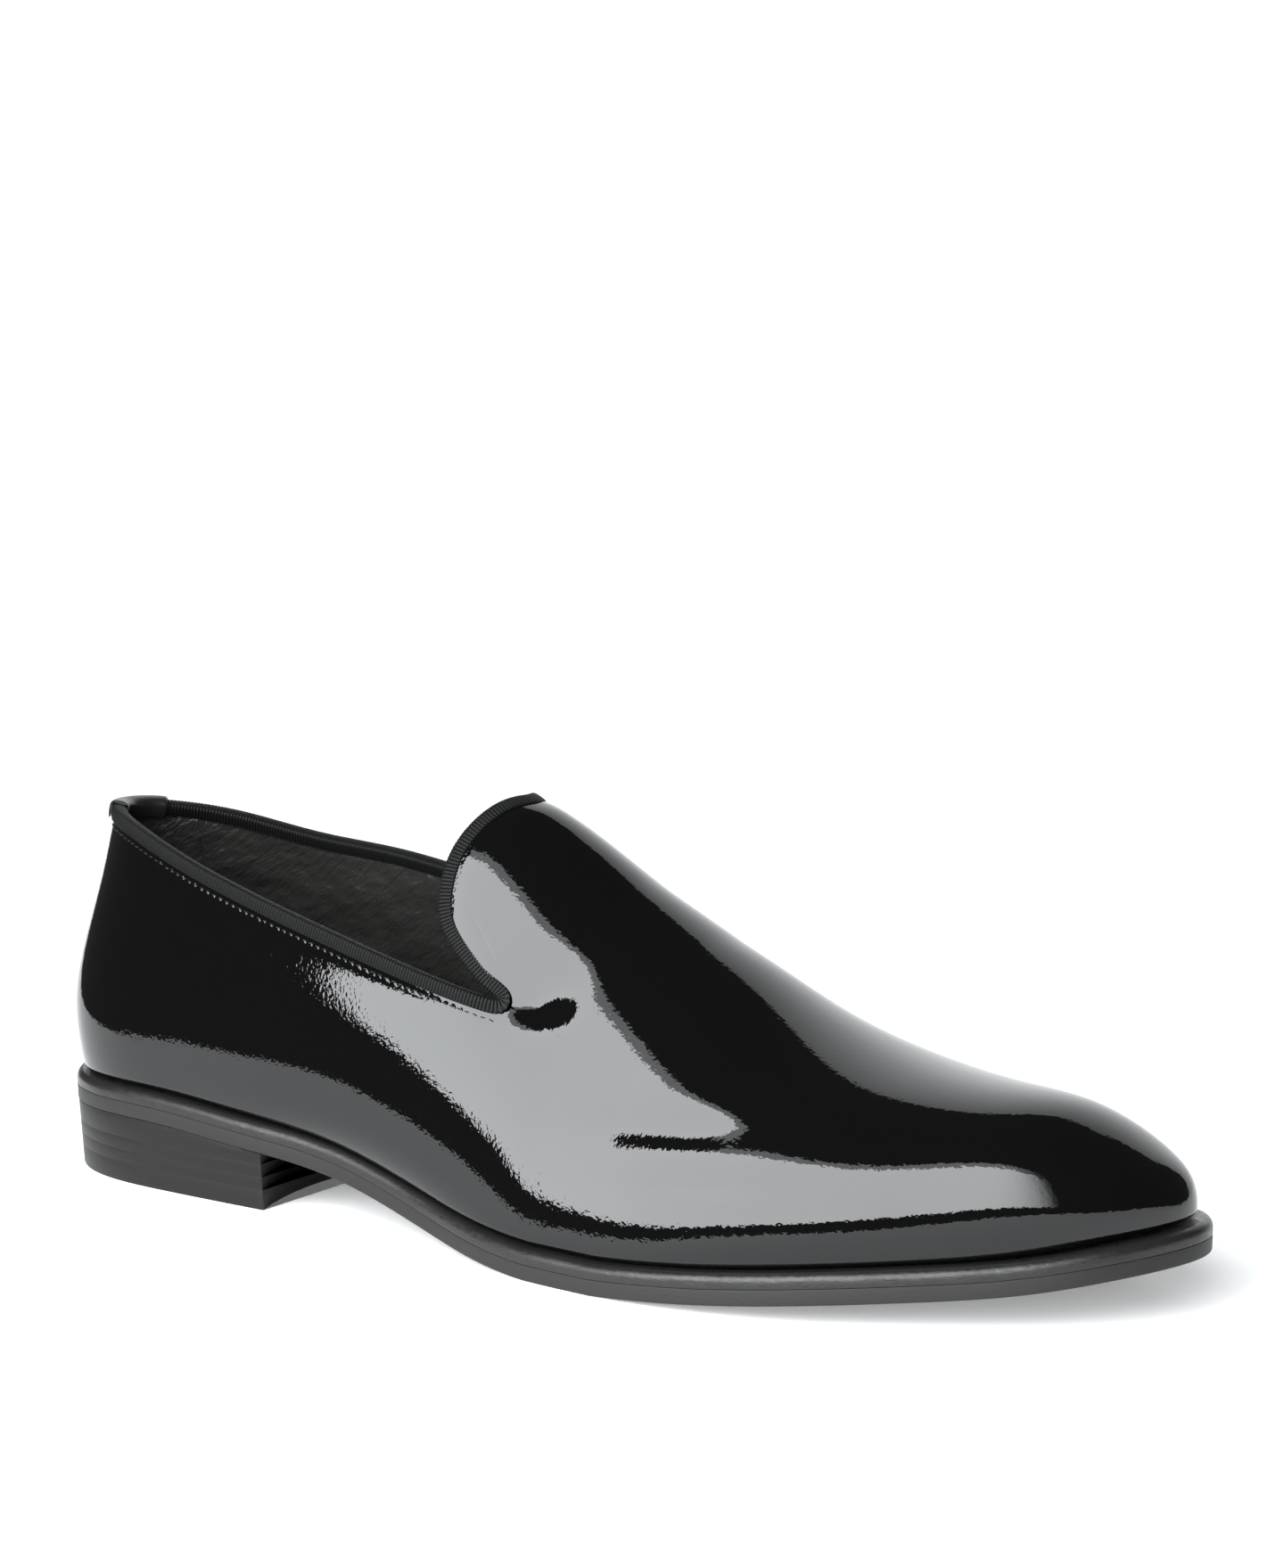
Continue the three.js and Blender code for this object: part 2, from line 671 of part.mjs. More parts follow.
const pieces = [
  ['upper', makeUpper(), patentLeather],
  ['insole', makePlate(1, soleSteps, squareEdge, (t) => insoleBaseAt(t) + insoleThickness,
    insoleBaseAt, insoleOut), insoleLeather],
  ['midsole', makePlate(1, soleSteps, roundedEdge, soleTopAt, midsoleBaseAt, edgeOut), soleLeather],
  ['outsole', makePlate(1, soleSteps, flatEdge, (t) => groundAt(t) + outsoleThickness,
    groundAt, edgeOut), soleLeather],
  ['heel_wedge', makeHeelLayer((t) => groundAt(t) - clearance, layerTop(wedgeBase)), heelLeather],
  ['heel_lift_upper', makeHeelLayer(layerTop(wedgeBase), layerTop(wedgeBase - liftThickness)), heelLeather],
  ['heel_lift_lower', makeHeelLayer(layerTop(topPieceThickness + liftThickness),
    layerTop(topPieceThickness)), heelLeather],
  ['heel_top_piece', makeHeelLayer(layerTop(topPieceThickness), layerTop(0)), heelLeather],
  ['quarter_binding', makeFold(quarterParts(), bindingGap, bindingThickness, bindingLeg), grosgrain],
  ['vamp_binding', makeFold(vampParts(), bindingGap, bindingThickness, bindingLeg), grosgrain],
  ['back_tab', makeFold(tabParts(), tabGap, tabThickness, tabLeg), smoothLeather],
];

const shoe = new THREE.Group();
for (const [name, geometry, material] of pieces) {
  const mesh = new THREE.Mesh(geometry, material);
  mesh.name = name;
  shoe.add(mesh);
}

// The origin is at the middle of the shoe's box, on the floor.
const box = new THREE.Box3().setFromObject(shoe);
const middle = box.getCenter(new THREE.Vector3());
shoe.position.set(-middle.x, -middle.y, -box.min.z);

export default shoe;
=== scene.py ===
import math
import bmesh
import bpy
import numpy as np
from mathutils import Matrix, Vector


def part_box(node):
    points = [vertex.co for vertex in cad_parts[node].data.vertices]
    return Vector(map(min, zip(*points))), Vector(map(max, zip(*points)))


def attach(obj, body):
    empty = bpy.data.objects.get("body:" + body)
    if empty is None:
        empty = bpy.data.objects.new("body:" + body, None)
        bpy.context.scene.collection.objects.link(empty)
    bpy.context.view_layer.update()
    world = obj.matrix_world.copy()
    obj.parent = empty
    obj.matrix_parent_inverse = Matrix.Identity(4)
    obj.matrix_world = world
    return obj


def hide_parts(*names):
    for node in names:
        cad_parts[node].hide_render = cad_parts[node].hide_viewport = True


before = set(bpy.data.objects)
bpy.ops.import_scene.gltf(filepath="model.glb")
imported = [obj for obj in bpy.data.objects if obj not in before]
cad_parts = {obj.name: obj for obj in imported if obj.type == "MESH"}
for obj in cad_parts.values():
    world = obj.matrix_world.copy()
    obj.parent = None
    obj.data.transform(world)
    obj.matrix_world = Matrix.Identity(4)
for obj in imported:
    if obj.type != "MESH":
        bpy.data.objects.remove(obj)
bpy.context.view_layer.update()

# A right slip-on dress shoe in black patent leather. Lengths are in millimetres until a mesh is made.
# +X runs to the toe, +Y to the inner side, +Z up.

last = {
    "length": 299.3, "ballHalf": 48, "crown": 97, "heelRise": 17, "toeSpring": 13,
    "groundFlat": 0.3, "backHeight": 66, "backLean": 11.5, "backReach": 120,
}
upper = {
    "wall": 1.8, "swell": 2.6, "swellHeight": 5, "swellEase": 9, "turnRadius": 1.6, "notchLift": 0.9,
    "skin": 1.0,  # patent leather, the rest of the wall is lining
    "toplineSteps": 120, "throatSteps": 66, "lowRows": 42, "vampSteps": 150, "toeLowShare": 0.45,
    "rowPower": 1.6,  # rows lie closer together near the sole
    "lowFar": 60,  # added to the distance from the cut edge for the vamp's rows below the notch
}
sole = {
    "clearance": 0.3, "outsole": 3.4, "midsole": 3.4, "insole": 2.4, "insoleGap": 0.6,
    "edgeHeel": 2.2, "edgeWaist": 1.3, "edgeForefoot": 2.5, "edgeToe": 3.5, "cadSteps": 44, "steps": 150,
    # Radii of each edge's top and bottom corners, and how far the outsole reaches into the gap above it.
    "sockRound": (0.6, 0.6), "midsoleRound": (1.9, 0.15), "outsoleRound": (0.12, 0.45), "outsoleLap": 0.24,
    # Where the edge changes width: the share of the length where a change starts, and how far it runs.
    "waistStart": (0.22, 0.13), "waistEnd": (0.45, 0.15), "forefoot": (0.4, 0.2), "toe": (0.8, 0.2),
}
heel = {
    "length": 81, "breastDepth": 6.5, "taper": 1.0, "lip": 0.15, "topPiece": 5, "lift": 3.2,
    "curveHalf": 32.63, "steps": 60, "layerEdge": 0.04, "wedgeSink": 0.03,
    "breastFrom": 0.2, "breastUntil": 0.5, "breastTrials": 600,  # the stations that the breast lies between
}

# Sections of the last, as shares of the sizes above, from the heel to the toe: half width and sideways place of
# the featherline, sideways lean and height of the crown, fullness of the arch between them, rise of the heel
# seat, and toe spring.
sections = {
    "at": [0, 0.02, 0.05, 0.1, 0.17, 0.25, 0.35, 0.45, 0.5, 0.55, 0.6, 0.65, 0.7, 0.78, 0.86, 0.92, 0.97,
           0.99, 1],
    "half": [0, 0.279, 0.46, 0.588, 0.632, 0.624, 0.598, 0.664, 0.754, 0.836, 0.9, 0.958, 0.998, 0.965,
             0.781, 0.599, 0.389, 0.215, 0],
    "shift": [0, 0, 0, -0.001, -0.001, -0.027, -0.077, -0.117, -0.121, -0.106, -0.075, -0.04, 0.008, 0.069,
              0.123, 0.156, 0.215, 0.241, 0.254],
    "lean": [0, 0, -0.01, -0.019, -0.028, -0.016, -0.001, 0.06, 0.101, 0.12, 0.107, 0.068, 0.015, -0.032,
             -0.071, -0.092, -0.055, -0.02, 0],
    "crown": [0.93, 0.934, 0.941, 0.95, 0.9452, 0.9419, 0.9188, 0.9319, 0.8781, 0.7899, 0.7005, 0.6113,
              0.513, 0.3937, 0.3368, 0.295, 0.176, 0.1093, 0],
    "full": [2.4, 2.4, 2.37, 2.345, 2.341, 2.194, 2.136, 2.01, 2.009, 1.837, 1.841, 1.874, 2.017, 2.44,
             2.554, 2.474, 2.55, 2.5, 2.5],
    "seat": [0.96, 0.975, 1, 1.02, 0.99, 0.87, 0.66, 0.26, 0.115, 0.03, 0, 0, 0, 0, 0, 0, 0, 0, 0],
    "spring": [0, 0, 0, 0, 0, 0, 0, 0, 0, 0, 0, 0.065, 0.16, 0.35, 0.51, 0.665, 0.88, 0.96, 1],
}
# Swell of the sides over the featherline.
swells = {
    "at": [0, 0.2, 0.35, 0.45, 0.5, 0.55, 0.62, 0.7, 0.78, 0.86, 0.94, 1],
    "share": [1, 0.603, 1.565, 1.111, 0.268, 0.024, 0.07, 0.127, 0.251, 0.112, 0.95, 1],
}
# The back's profile: lean forwards at each rise.
backCurve = {
    "rise": [0, 0.12, 0.26, 0.53, 0.76, 1, 1.45],
    "lean": [0.125, 0.036, -0.01, 0.335, 0.735, 1.02, 1.72],
}
# The topline's height on each side, and the throat's edge from the notch to the crown.
topline = {
    "at": [0, 0.08, 0.165, 0.255, 0.335, 0.41, 0.47],
    "outer": [0.998, 0.967, 0.868, 0.77, 0.69, 0.612, 0.553],
    "inner": [0.998, 0.938, 0.877, 0.847, 0.808, 0.744, 0.65],
}
throat = {
    "at": [0.521, 0.492, 0.454, 0.437, 0.4345, 0.441, 0.4495, 0.457, 0.46],
    "turn": [0.365, 0.368, 0.41, 0.473, 0.582, 0.697, 0.81, 0.92, 1],
}


def smoothCurve(places, values, levelStart, levelEnd):
    # A cubic through the values; its slopes solve one line of equations, level or free at either end.
    x = np.asarray(places, float)
    y = np.asarray(values, float)
    step = np.diff(x)
    rise = np.diff(y) / step
    count = len(x)
    table = np.zeros((count, count))
    right = np.zeros(count)
    table[0, :2] = (1, 0) if levelStart else (2, 1)
    right[0] = 0 if levelStart else 3 * rise[0]
    for i in range(1, count - 1):
        table[i, i - 1 : i + 2] = step[i], 2 * (step[i] + step[i - 1]), step[i - 1]
        right[i] = 3 * (step[i] * rise[i - 1] + step[i - 1] * rise[i])
    table[-1, -2:] = (0, 1) if levelEnd else (1, 2)
    right[-1] = 0 if levelEnd else 3 * rise[-1]
    slopes = np.linalg.solve(table, right)

    def curve(place):
        place = np.asarray(place, float)
        i = np.clip(np.searchsorted(x, place) - 1, 0, count - 2)
        t = np.clip((place - x[i]) / step[i], 0, 1)
        beyond = place - x[i] - t * step[i]
        edgeSlope = np.where(t < 0.5, slopes[i], slopes[i + 1])
        u = 1 - t
        return (y[i] * u * u * (1 + 2 * t) + y[i + 1] * t * t * (3 - 2 * t)
                + step[i] * (slopes[i] * t * u * u - slopes[i + 1] * t * t * u) + beyond * edgeSlope)

    return curve


def stationOf(at):
    return np.arccos(1 - 2 * np.clip(at, 0, 1)) / math.pi


def shareAt(station):
    return (1 - np.cos(math.pi * np.asarray(station, float))) / 2


def sectionCurve(column, scale, levelStart, levelEnd):
    places = stationOf(np.array(sections["at"]))
    return smoothCurve(places, np.array(sections[column]) * scale, levelStart, levelEnd)


halfAt = sectionCurve("half", last["ballHalf"], False, False)
shiftAt = sectionCurve("shift", last["ballHalf"], True, True)
leanAt = sectionCurve("lean", last["ballHalf"], True, True)
crownAt = sectionCurve("crown", last["crown"], True, False)
fullAt = sectionCurve("full", 1, True, True)
swellAt = smoothCurve(stationOf(np.array(swells["at"])),
                      np.array(swells["share"]) * upper["swell"], True, True)
seatAt = sectionCurve("seat", last["heelRise"], True, True)
springAt = sectionCurve("spring", last["toeSpring"], True, True)
backAt = smoothCurve(np.array(backCurve["rise"]) * last["backHeight"],
                     np.array(backCurve["lean"]) * last["backLean"], False, False)


def groundAt(station):
    return np.maximum(seatAt(station) + springAt(station) - last["groundFlat"], 0)


def midsoleBaseAt(station):
    return groundAt(station) + sole["outsole"] + sole["clearance"]


def soleTopAt(station):
    return midsoleBaseAt(station) + sole["midsole"]


def featherAt(station):
    return soleTopAt(station) + sole["clearance"]


def backShift(along, rise):
    t = np.clip(1 - along / last["backReach"], 0, 1)
    return backAt(rise) * t * t * (3 - 2 * t)


def planNormal(station, side):
    # Outward in plan: a quarter turn of the featherline's direction.
    step = 1e-4
    along = last["length"] * (shareAt(station + step) - shareAt(station - step))
    across = shiftAt(station + step) - shiftAt(station - step)
    across = across + side * (halfAt(station + step) - halfAt(station - step))
    length = np.hypot(along, across)
    return -side * across / length, side * along / length


def upperPoint(station, turn, side, turned):
    # The upper's outside: turn runs from 0 at the featherline to 1 at the crown of each section.
    station, turn = np.broadcast_arrays(np.asarray(station, float), np.asarray(turn, float))
    height = 1 - (1 - turn) ** 2
    rise = height * crownAt(station)
    half = np.maximum(halfAt(station), 0)
    swell = swellAt(station) * (1 - np.exp(-rise / upper["swellHeight"]))
    swell = swell * (1 - np.exp(-half / upper["swellEase"]))
    arch = np.sqrt(np.maximum(1 - height ** fullAt(station), 0))
    along = last["length"] * shareAt(station)
    x = along + backShift(along, rise)
    y = shiftAt(station) + leanAt(station) * height + side * (half + swell) * arch
    z = featherAt(station) + rise
    if turned:
        low = np.maximum(upper["turnRadius"] - rise, 0)
        inset = upper["turnRadius"] - np.sqrt(upper["turnRadius"] ** 2 - low**2)
        normalX, normalY = planNormal(station, side)
        x = x - normalX * inset
        y = y - normalY * inset * arch
    return np.stack([x, y, z], axis=-1)


def unit(vectors):
    return vectors / np.maximum(np.linalg.norm(vectors, axis=-1, keepdims=True), 1e-12)


def sideNormal(station, turn, side, step):
    place = np.minimum(station, 1 - 2 * step)
    high = np.minimum(turn, 1 - step)
    low = np.maximum(high - step, 0)
    behind = np.maximum(place - step, 0)
    along = upperPoint(place + step, high, side, False) - upperPoint(behind, high, side, False)
    up = upperPoint(place, high + step, side, False) - upperPoint(place, low, side, False)
    return unit(np.cross(along, up) * -side)


def upperNormal(station, turn, side):
    # Both sides share the normal on the back, toe and crown lines, and it lies level where the wall meets
    # the sole.
    step = 1e-3
    station, turn = np.broadcast_arrays(np.asarray(station, float), np.asarray(turn, float))
    normal = sideNormal(station, turn, side, step)
    seam = (turn > 1 - step) | (station < step) | (station > 1 - step)
    normal = normal + np.where(seam[..., None], sideNormal(station, turn, -side, step), 0)
    height = 1 - (1 - turn) ** 2
    normal[..., 2] *= np.minimum(height * crownAt(station) / upper["swellHeight"], 1)
    return unit(normal)


throatParts = np.linspace(0, 1, len(throat["at"]))
throatAlong = smoothCurve(throatParts, throat["at"], False, True)
throatRound = smoothCurve(throatParts, throat["turn"], False, False)
notchStation = float(stationOf(throat["at"][0]))


def throatTurn(part, side):
    return 1 - (1 - throatRound(part)) * (upper["notchLift"] if side > 0 else 1)


def toplineCurve(side):
    notchTurn = throatTurn(0, side)
    notchRise = (1 - (1 - notchTurn) ** 2) * crownAt(notchStation)
    places = np.append(stationOf(np.array(topline["at"])), notchStation)
    column = np.array(topline["inner" if side > 0 else "outer"])
    heights = np.append(featherAt(0) + column * last["backHeight"], featherAt(notchStation) + notchRise)
    return smoothCurve(places, heights, True, False)


toplineHeight = {-1: toplineCurve(-1), 1: toplineCurve(1)}


def edgePlace(part, side):
    # The cut edge: parts 0 to 1 from the back seam to the notch, 1 to 2 from there to the throat's crown.
    part = np.asarray(part, float)
    station = part * notchStation
    share = (toplineHeight[side](station) - featherAt(station)) / crownAt(station)
    turn = 1 - np.sqrt(np.maximum(1 - share, 0))
    high = np.clip(part - 1, 0, 1)
    throatPlace = part > 1
    return (np.where(throatPlace, stationOf(throatAlong(high)), station),
            np.where(throatPlace, np.minimum(throatTurn(high, side), 1), turn))


def rowShare(row):
    return (row / upper["lowRows"]) ** upper["rowPower"]


def quarterGrid(side):
    station, top = edgePlace(np.linspace(0, 1, upper["toplineSteps"] + 1), side)
    rows = rowShare(np.arange(upper["lowRows"] + 1))
    return np.repeat(station[:, None], len(rows), axis=1), top[:, None] * rows


def vampGrid(side):
    rows = np.arange(upper["lowRows"] + upper["throatSteps"] + 1)
    low = rows < upper["lowRows"]
    high = np.clip((rows - upper["lowRows"]) / upper["throatSteps"], 0, 1)
    edgeStation, edgeTurn = edgePlace(1 + high, side)
    share = rowShare(np.minimum(rows, upper["lowRows"]))
    startStation = np.where(low, notchStation, edgeStation)
    startTurn = np.where(low, throatTurn(0, side) * share, edgeTurn)
    toeShare = upper["toeLowShare"]
    toeTurn = np.where(low, toeShare * share, toeShare + (1 - toeShare) * high)
    t = np.linspace(0, 1, upper["vampSteps"] + 1)[:, None]
    return startStation + (1 - startStation) * t, startTurn + (toeTurn - startTurn) * t


def outlinePoint(station, side, out, height):
    along = last["length"] * shareAt(station)
    normalX, normalY = planNormal(station, side)
    x = along + backShift(along, 0) + normalX * out
    y = shiftAt(station) + side * np.maximum(halfAt(station), 0) + normalY * out
    return np.stack([x, y, np.broadcast_to(height, x.shape)], axis=-1)


def ease(t):
    t = np.clip(t, 0, 1)
    return t * t * (3 - 2 * t)


def edgeAt(station):
    # How far the sole stands out from the featherline.
    done = {}
    for change in ("waistStart", "waistEnd", "forefoot", "toe"):
        start, over = sole[change]
        done[change] = ease((shareAt(station) - start) / over)
    wide = sole["edgeHeel"] + (sole["edgeForefoot"] - sole["edgeHeel"]) * done["forefoot"]
    wide = wide + (sole["edgeToe"] - sole["edgeForefoot"]) * done["toe"]
    return wide + (sole["edgeWaist"] - wide) * (done["waistStart"] * (1 - done["waistEnd"]))


def framePlace():
    # Where the last's own axes lie in the frame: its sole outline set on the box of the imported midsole.
    stations = np.linspace(0, 1, sole["cadSteps"] + 1)
    outline = np.concatenate([outlinePoint(stations, side, edgeAt(stations), 0) for side in (-1, 1)])
    low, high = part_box("midsole")
    middle = (np.array(low) + np.array(high)) / 2 * 1000
    drawn = (outline.min(axis=0) + outline.max(axis=0)) / 2
    return np.array([middle[0] - drawn[0], middle[1] - drawn[1], 0])


place = framePlace()
print("frame place in mm", place.round(3))


def linearColour(code):
    # An sRGB hex value as the linear colour that the shaders take.
    parts = [int(code[i : i + 2], 16) / 255 for i in (1, 3, 5)]
    return [p / 12.92 if p <= 0.04045 else ((p + 0.055) / 1.055) ** 2.4 for p in parts] + [1]


def addNode(tree, kind, settings=None, inputs=None):
    # One node: its own settings, then each input as a value or as a link from another node's output.
    node = tree.nodes.new(kind)
    for key, value in (settings or {}).items():
        setattr(node, key, value)
    for key, value in (inputs or {}).items():
        if isinstance(value, bpy.types.NodeSocket):
            tree.links.new(value, node.inputs[key])
        else:
            node.inputs[key].default_value = value
    return node


def newMaterial(name, shader):
    # A material with a Principled shader that takes the given values; more nodes are added to its tree.
    material = bpy.data.materials.new(name)
    material.use_nodes = True
    tree = material.node_tree
    tree.nodes.clear()
    main = addNode(tree, "ShaderNodeBsdfPrincipled", None, shader)
    addNode(tree, "ShaderNodeOutputMaterial", None, {"Surface": main.outputs[0]})
    return material, tree, main


def noiseHeight(tree, coordinates, sizeMm, detail=2.0, roughness=0.5, stretch=(1, 1, 1)):
    # Noise whose features are sizeMm across in the object's own metres.
    mapping = addNode(tree, "ShaderNodeMapping", None, {"Vector": coordinates, "Scale": stretch})
    return addNode(tree, "ShaderNodeTexNoise", None, {
        "Vector": mapping.outputs[0], "Scale": 1000 / sizeMm, "Detail": detail, "Roughness": roughness,
    }).outputs["Fac"]


def bump(tree, height, depthMm, normal=None):
    inputs = {"Height": height, "Distance": depthMm / 1000, "Strength": 1.0}
    if normal is not None:
        inputs["Normal"] = normal
    return addNode(tree, "ShaderNodeBump", None, inputs).outputs[0]


def objectCoordinates(tree):
    return addNode(tree, "ShaderNodeTexCoord").outputs["Object"]


merge = {"doubles": 2e-6, "slivers": 1e-7}  # metres


def addMesh(name, points, faces, material, uv=None, sharpDegrees=40, nodes=()):
    # points in the last's axes; doubles are merged and the faces turned outwards.
    mesh = bpy.data.meshes.new(name)
    mesh.from_pydata(((points + place) / 1000).tolist(), [], [list(face) for face in faces])
    if uv is not None:
        layer = mesh.uv_layers.new(name="UVMap")
        corners = np.zeros(len(mesh.loops), int)
        mesh.loops.foreach_get("vertex_index", corners)
        layer.data.foreach_set("uv", np.asarray(uv)[corners].ravel())
    work = bmesh.new()
    work.from_mesh(mesh)
    bmesh.ops.remove_doubles(work, verts=work.verts, dist=merge["doubles"])
    bmesh.ops.dissolve_degenerate(work, edges=work.edges, dist=merge["slivers"])
    bmesh.ops.recalc_face_normals(work, faces=work.faces)
    work.to_mesh(mesh)
    work.free()
    mesh.shade_smooth()
    mesh.set_sharp_from_angle(angle=math.radians(sharpDegrees))
    mesh.materials.append(material)
    piece = bpy.data.objects.new(name, mesh)
    bpy.context.scene.collection.objects.link(piece)
    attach(piece, "root")
    if nodes:
        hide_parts(*nodes)
    triangles = sum(len(face.vertices) - 2 for face in mesh.polygons)
    print(name, "triangles", triangles)
    return piece


def gridFaces(start, rows, columns, flip):
    index = start + np.arange(rows * columns).reshape(rows, columns)
    quads = np.stack([index[:-1, :-1], index[:-1, 1:], index[1:, 1:], index[1:, :-1]], axis=-1).reshape(-1, 4)
    return quads[:, ::-1] if flip else quads


def stripFaces(first, second, closed=False):
    # Quads between two rows of point numbers.
    if closed:
        first, second = np.append(first, first[0]), np.append(second, second[0])
    return np.stack([first[:-1], first[1:], second[1:], second[:-1]], axis=-1)


# Upper: the patent skin outside and the lining inside share one wall.
relief = {
    # Soft troughs on the outer side, low over the ball and above it where the vamp bends. Places are measured
    # from the last's heel, long and wide are half widths, and tilt is in degrees.
    "creases": [
        {"x": 213, "z": 27.2, "long": 17, "wide": 2.4, "deep": 0.8, "tilt": 3.5},
        {"x": 199, "z": 37, "long": 20, "wide": 3.6, "deep": 1.0, "tilt": 2},
    ],
    # The topline stands out where the ribbon thickens it, and the throat's edge is pulled in. Both fade over
    # edgeReach from the cut edge, and set in over edgeBlend once they are edgeClear from the notch.
    "flare": 0.75, "flareFrom": 40, "flareOver": 50, "flareEnd": 12, "pull": 0.75,
    "edgeReach": 4.5, "edgeClear": 3, "edgeBlend": 9,
    # The hollow beside the throat's notch, weaker on the inner side.
    "notchDent": 2.8, "notchLong": 9, "notchHigh": 6, "notchAhead": 2, "notchAbove": 3, "notchInner": 0.3,
}


def reliefDepth(points, far, side, throatPanel):
    # Depth below the plain surface, for points whose distance from the cut edge is far: bells added up.
    notch = upperPoint(*edgePlace(1, side), side, True)
    x = points[..., 0] - notch[0] - relief["notchAhead"]
    z = points[..., 2] - notch[2] - relief["notchAbove"]
    depth = relief["notchDent"] * np.exp(-((x / relief["notchLong"]) ** 2) - (z / relief["notchHigh"]) ** 2)
    depth = depth * (relief["notchInner"] if side > 0 else 1)
    fromNotch = np.linalg.norm(points - notch, axis=-1) - relief["edgeClear"]
    beside = ease(fromNotch / relief["edgeBlend"]) * np.exp(-((far / relief["edgeReach"]) ** 2))
    if throatPanel:
        depth += relief["pull"] * beside
    else:
        flare = relief["flare"] * ease((points[..., 0] - relief["flareFrom"]) / relief["flareOver"])
        depth -= flare * ease((notch[0] - points[..., 0]) / relief["flareEnd"]) * beside
    for crease in relief["creases"] if side < 0 else []:
        tilt = math.radians(crease["tilt"])
        x, z = points[..., 0] - crease["x"], points[..., 2] - crease["z"]
        run, across = x * math.cos(tilt) + z * math.sin(tilt), z * math.cos(tilt) - x * math.sin(tilt)
        depth += crease["deep"] * np.exp(-((run / crease["long"]) ** 2) - (across / crease["wide"]) ** 2)
    return depth


def panelMeasures(wall, panel, edgeStart):
    # Millimetres along the cut edge and away from it, for each point of a quarter (0) or vamp (1) panel.
    if panel == 0:
        down = np.linalg.norm(np.diff(wall, axis=1), axis=-1)
        far = np.concatenate([np.cumsum(down[:, ::-1], axis=1)[:, ::-1], np.zeros((len(wall), 1))], axis=1)
        run = np.append(0, np.cumsum(np.linalg.norm(np.diff(wall[:, -1], axis=0), axis=-1)))
        return np.broadcast_to(run[:, None], far.shape), far, run[-1]
    away = np.linalg.norm(np.diff(wall, axis=0), axis=-1)
    far = np.concatenate([np.zeros((1, wall.shape[1])), np.cumsum(away, axis=0)], axis=0)
    far = far + np.where(np.arange(wall.shape[1]) < upper["lowRows"], float(upper["lowFar"]), 0.0)
    run = np.append(0, np.cumsum(np.linalg.norm(np.diff(wall[0], axis=0), axis=-1)))
    return np.broadcast_to(edgeStart + run - run[upper["lowRows"]], far.shape), far, edgeStart


def makeShell(name, outerDepth, innerDepth, material, nodes=()):
    # The upper's outside set in by two depths, closed along the cut edge and the sole: one layer of the wall.
    points, faces, coordinates = [], [], []
    total = 0
    for side in (-1, 1):
        cutOutside, cutInside = [], []
        edgeStart = 0.0
        for panel, (station, turn) in enumerate((quarterGrid(side), vampGrid(side))):
            wall = upperPoint(station, turn, side, True)
            normal = upperNormal(station, turn, side)
            along, far, edgeStart = panelMeasures(wall, panel, edgeStart)
            depth = reliefDepth(wall, far, side, panel == 1)[..., None]
            outside = wall - normal * (outerDepth + depth)
            inside = wall - normal * (innerDepth + depth)
            rows, columns = station.shape
            index = total + np.arange(rows * columns).reshape(rows, columns)
            faces.append(gridFaces(total, rows, columns, side < 0))
            faces.append(gridFaces(total + rows * columns, rows, columns, side > 0))
            faces.append(stripFaces(index[:, 0], index[:, 0] + rows * columns))
            if panel == 0:
                cutOutside.append(index[:, -1])
            else:
                cutOutside.append(index[0, upper["lowRows"] + 1 :])
            cutInside.append(cutOutside[-1] + rows * columns)
            points += [outside.reshape(-1, 3), inside.reshape(-1, 3)]
            coordinates += [np.stack([along, far], axis=-1).reshape(-1, 2)] * 2
            total += 2 * rows * columns
        faces.append(stripFaces(np.concatenate(cutOutside), np.concatenate(cutInside)))
    return addMesh(name, np.concatenate(points), np.concatenate(faces), material,
                   uv=np.concatenate(coordinates), nodes=nodes)


# The ribbon folded over the cut edge, which is one closed line: outer topline, outer throat, inner throat and
# inner topline.
ribbon = {
    "pitch": 0.85, "ribDepth": 0.2, "ribSteps": 6, "ribPower": 5,
    "leg": 2.7, "gap": 0.1, "thick": 0.85, "bulge": 0.38, "crest": 0.9, "crestPower": 0.8,
    "middle": 1.2, "core": 0.6,  # depths below the edge of the line that is measured, and of the fold's core
    "toplinePoints": 1400, "throatPoints": 900, "cornerCut": 11, "cornerSteps": 60,
    "pastNotch": 1.0001,  # the part of the edge where the throat's run starts
}


def edgeRun(side, first, until):
    atThroat = until > 1
    steps = ribbon["throatPoints" if atThroat else "toplinePoints"]
    station, turn = edgePlace(np.linspace(first, until, steps), side)
    points, normals = upperPoint(station, turn, side, False), upperNormal(station, turn, side)
    return points - normals * reliefDepth(points, np.zeros(steps), side, atThroat)[:, None], normals


def roundCorner(before, after):
    # Both runs stop short of the notch, and a curve with the notch as its handle joins them.
    (pointsA, normalsA), (pointsB, normalsB) = before, after
    tip = pointsA[-1]
    keepA = np.linalg.norm(pointsA - tip, axis=1) > ribbon["cornerCut"]
    keepB = np.linalg.norm(pointsB - tip, axis=1) > ribbon["cornerCut"]
    pointsA, normalsA, pointsB, normalsB = pointsA[keepA], normalsA[keepA], pointsB[keepB], normalsB[keepB]
    t = np.linspace(0, 1, ribbon["cornerSteps"])[1:-1, None]
    corner = pointsA[-1] * (1 - t) ** 2 + tip * 2 * t * (1 - t) + pointsB[0] * t**2
    turn = unit(normalsA[-1] * (1 - t) + normalsB[0] * t)
    return (np.concatenate([pointsA, corner, pointsB]), np.concatenate([normalsA, turn, normalsB]))


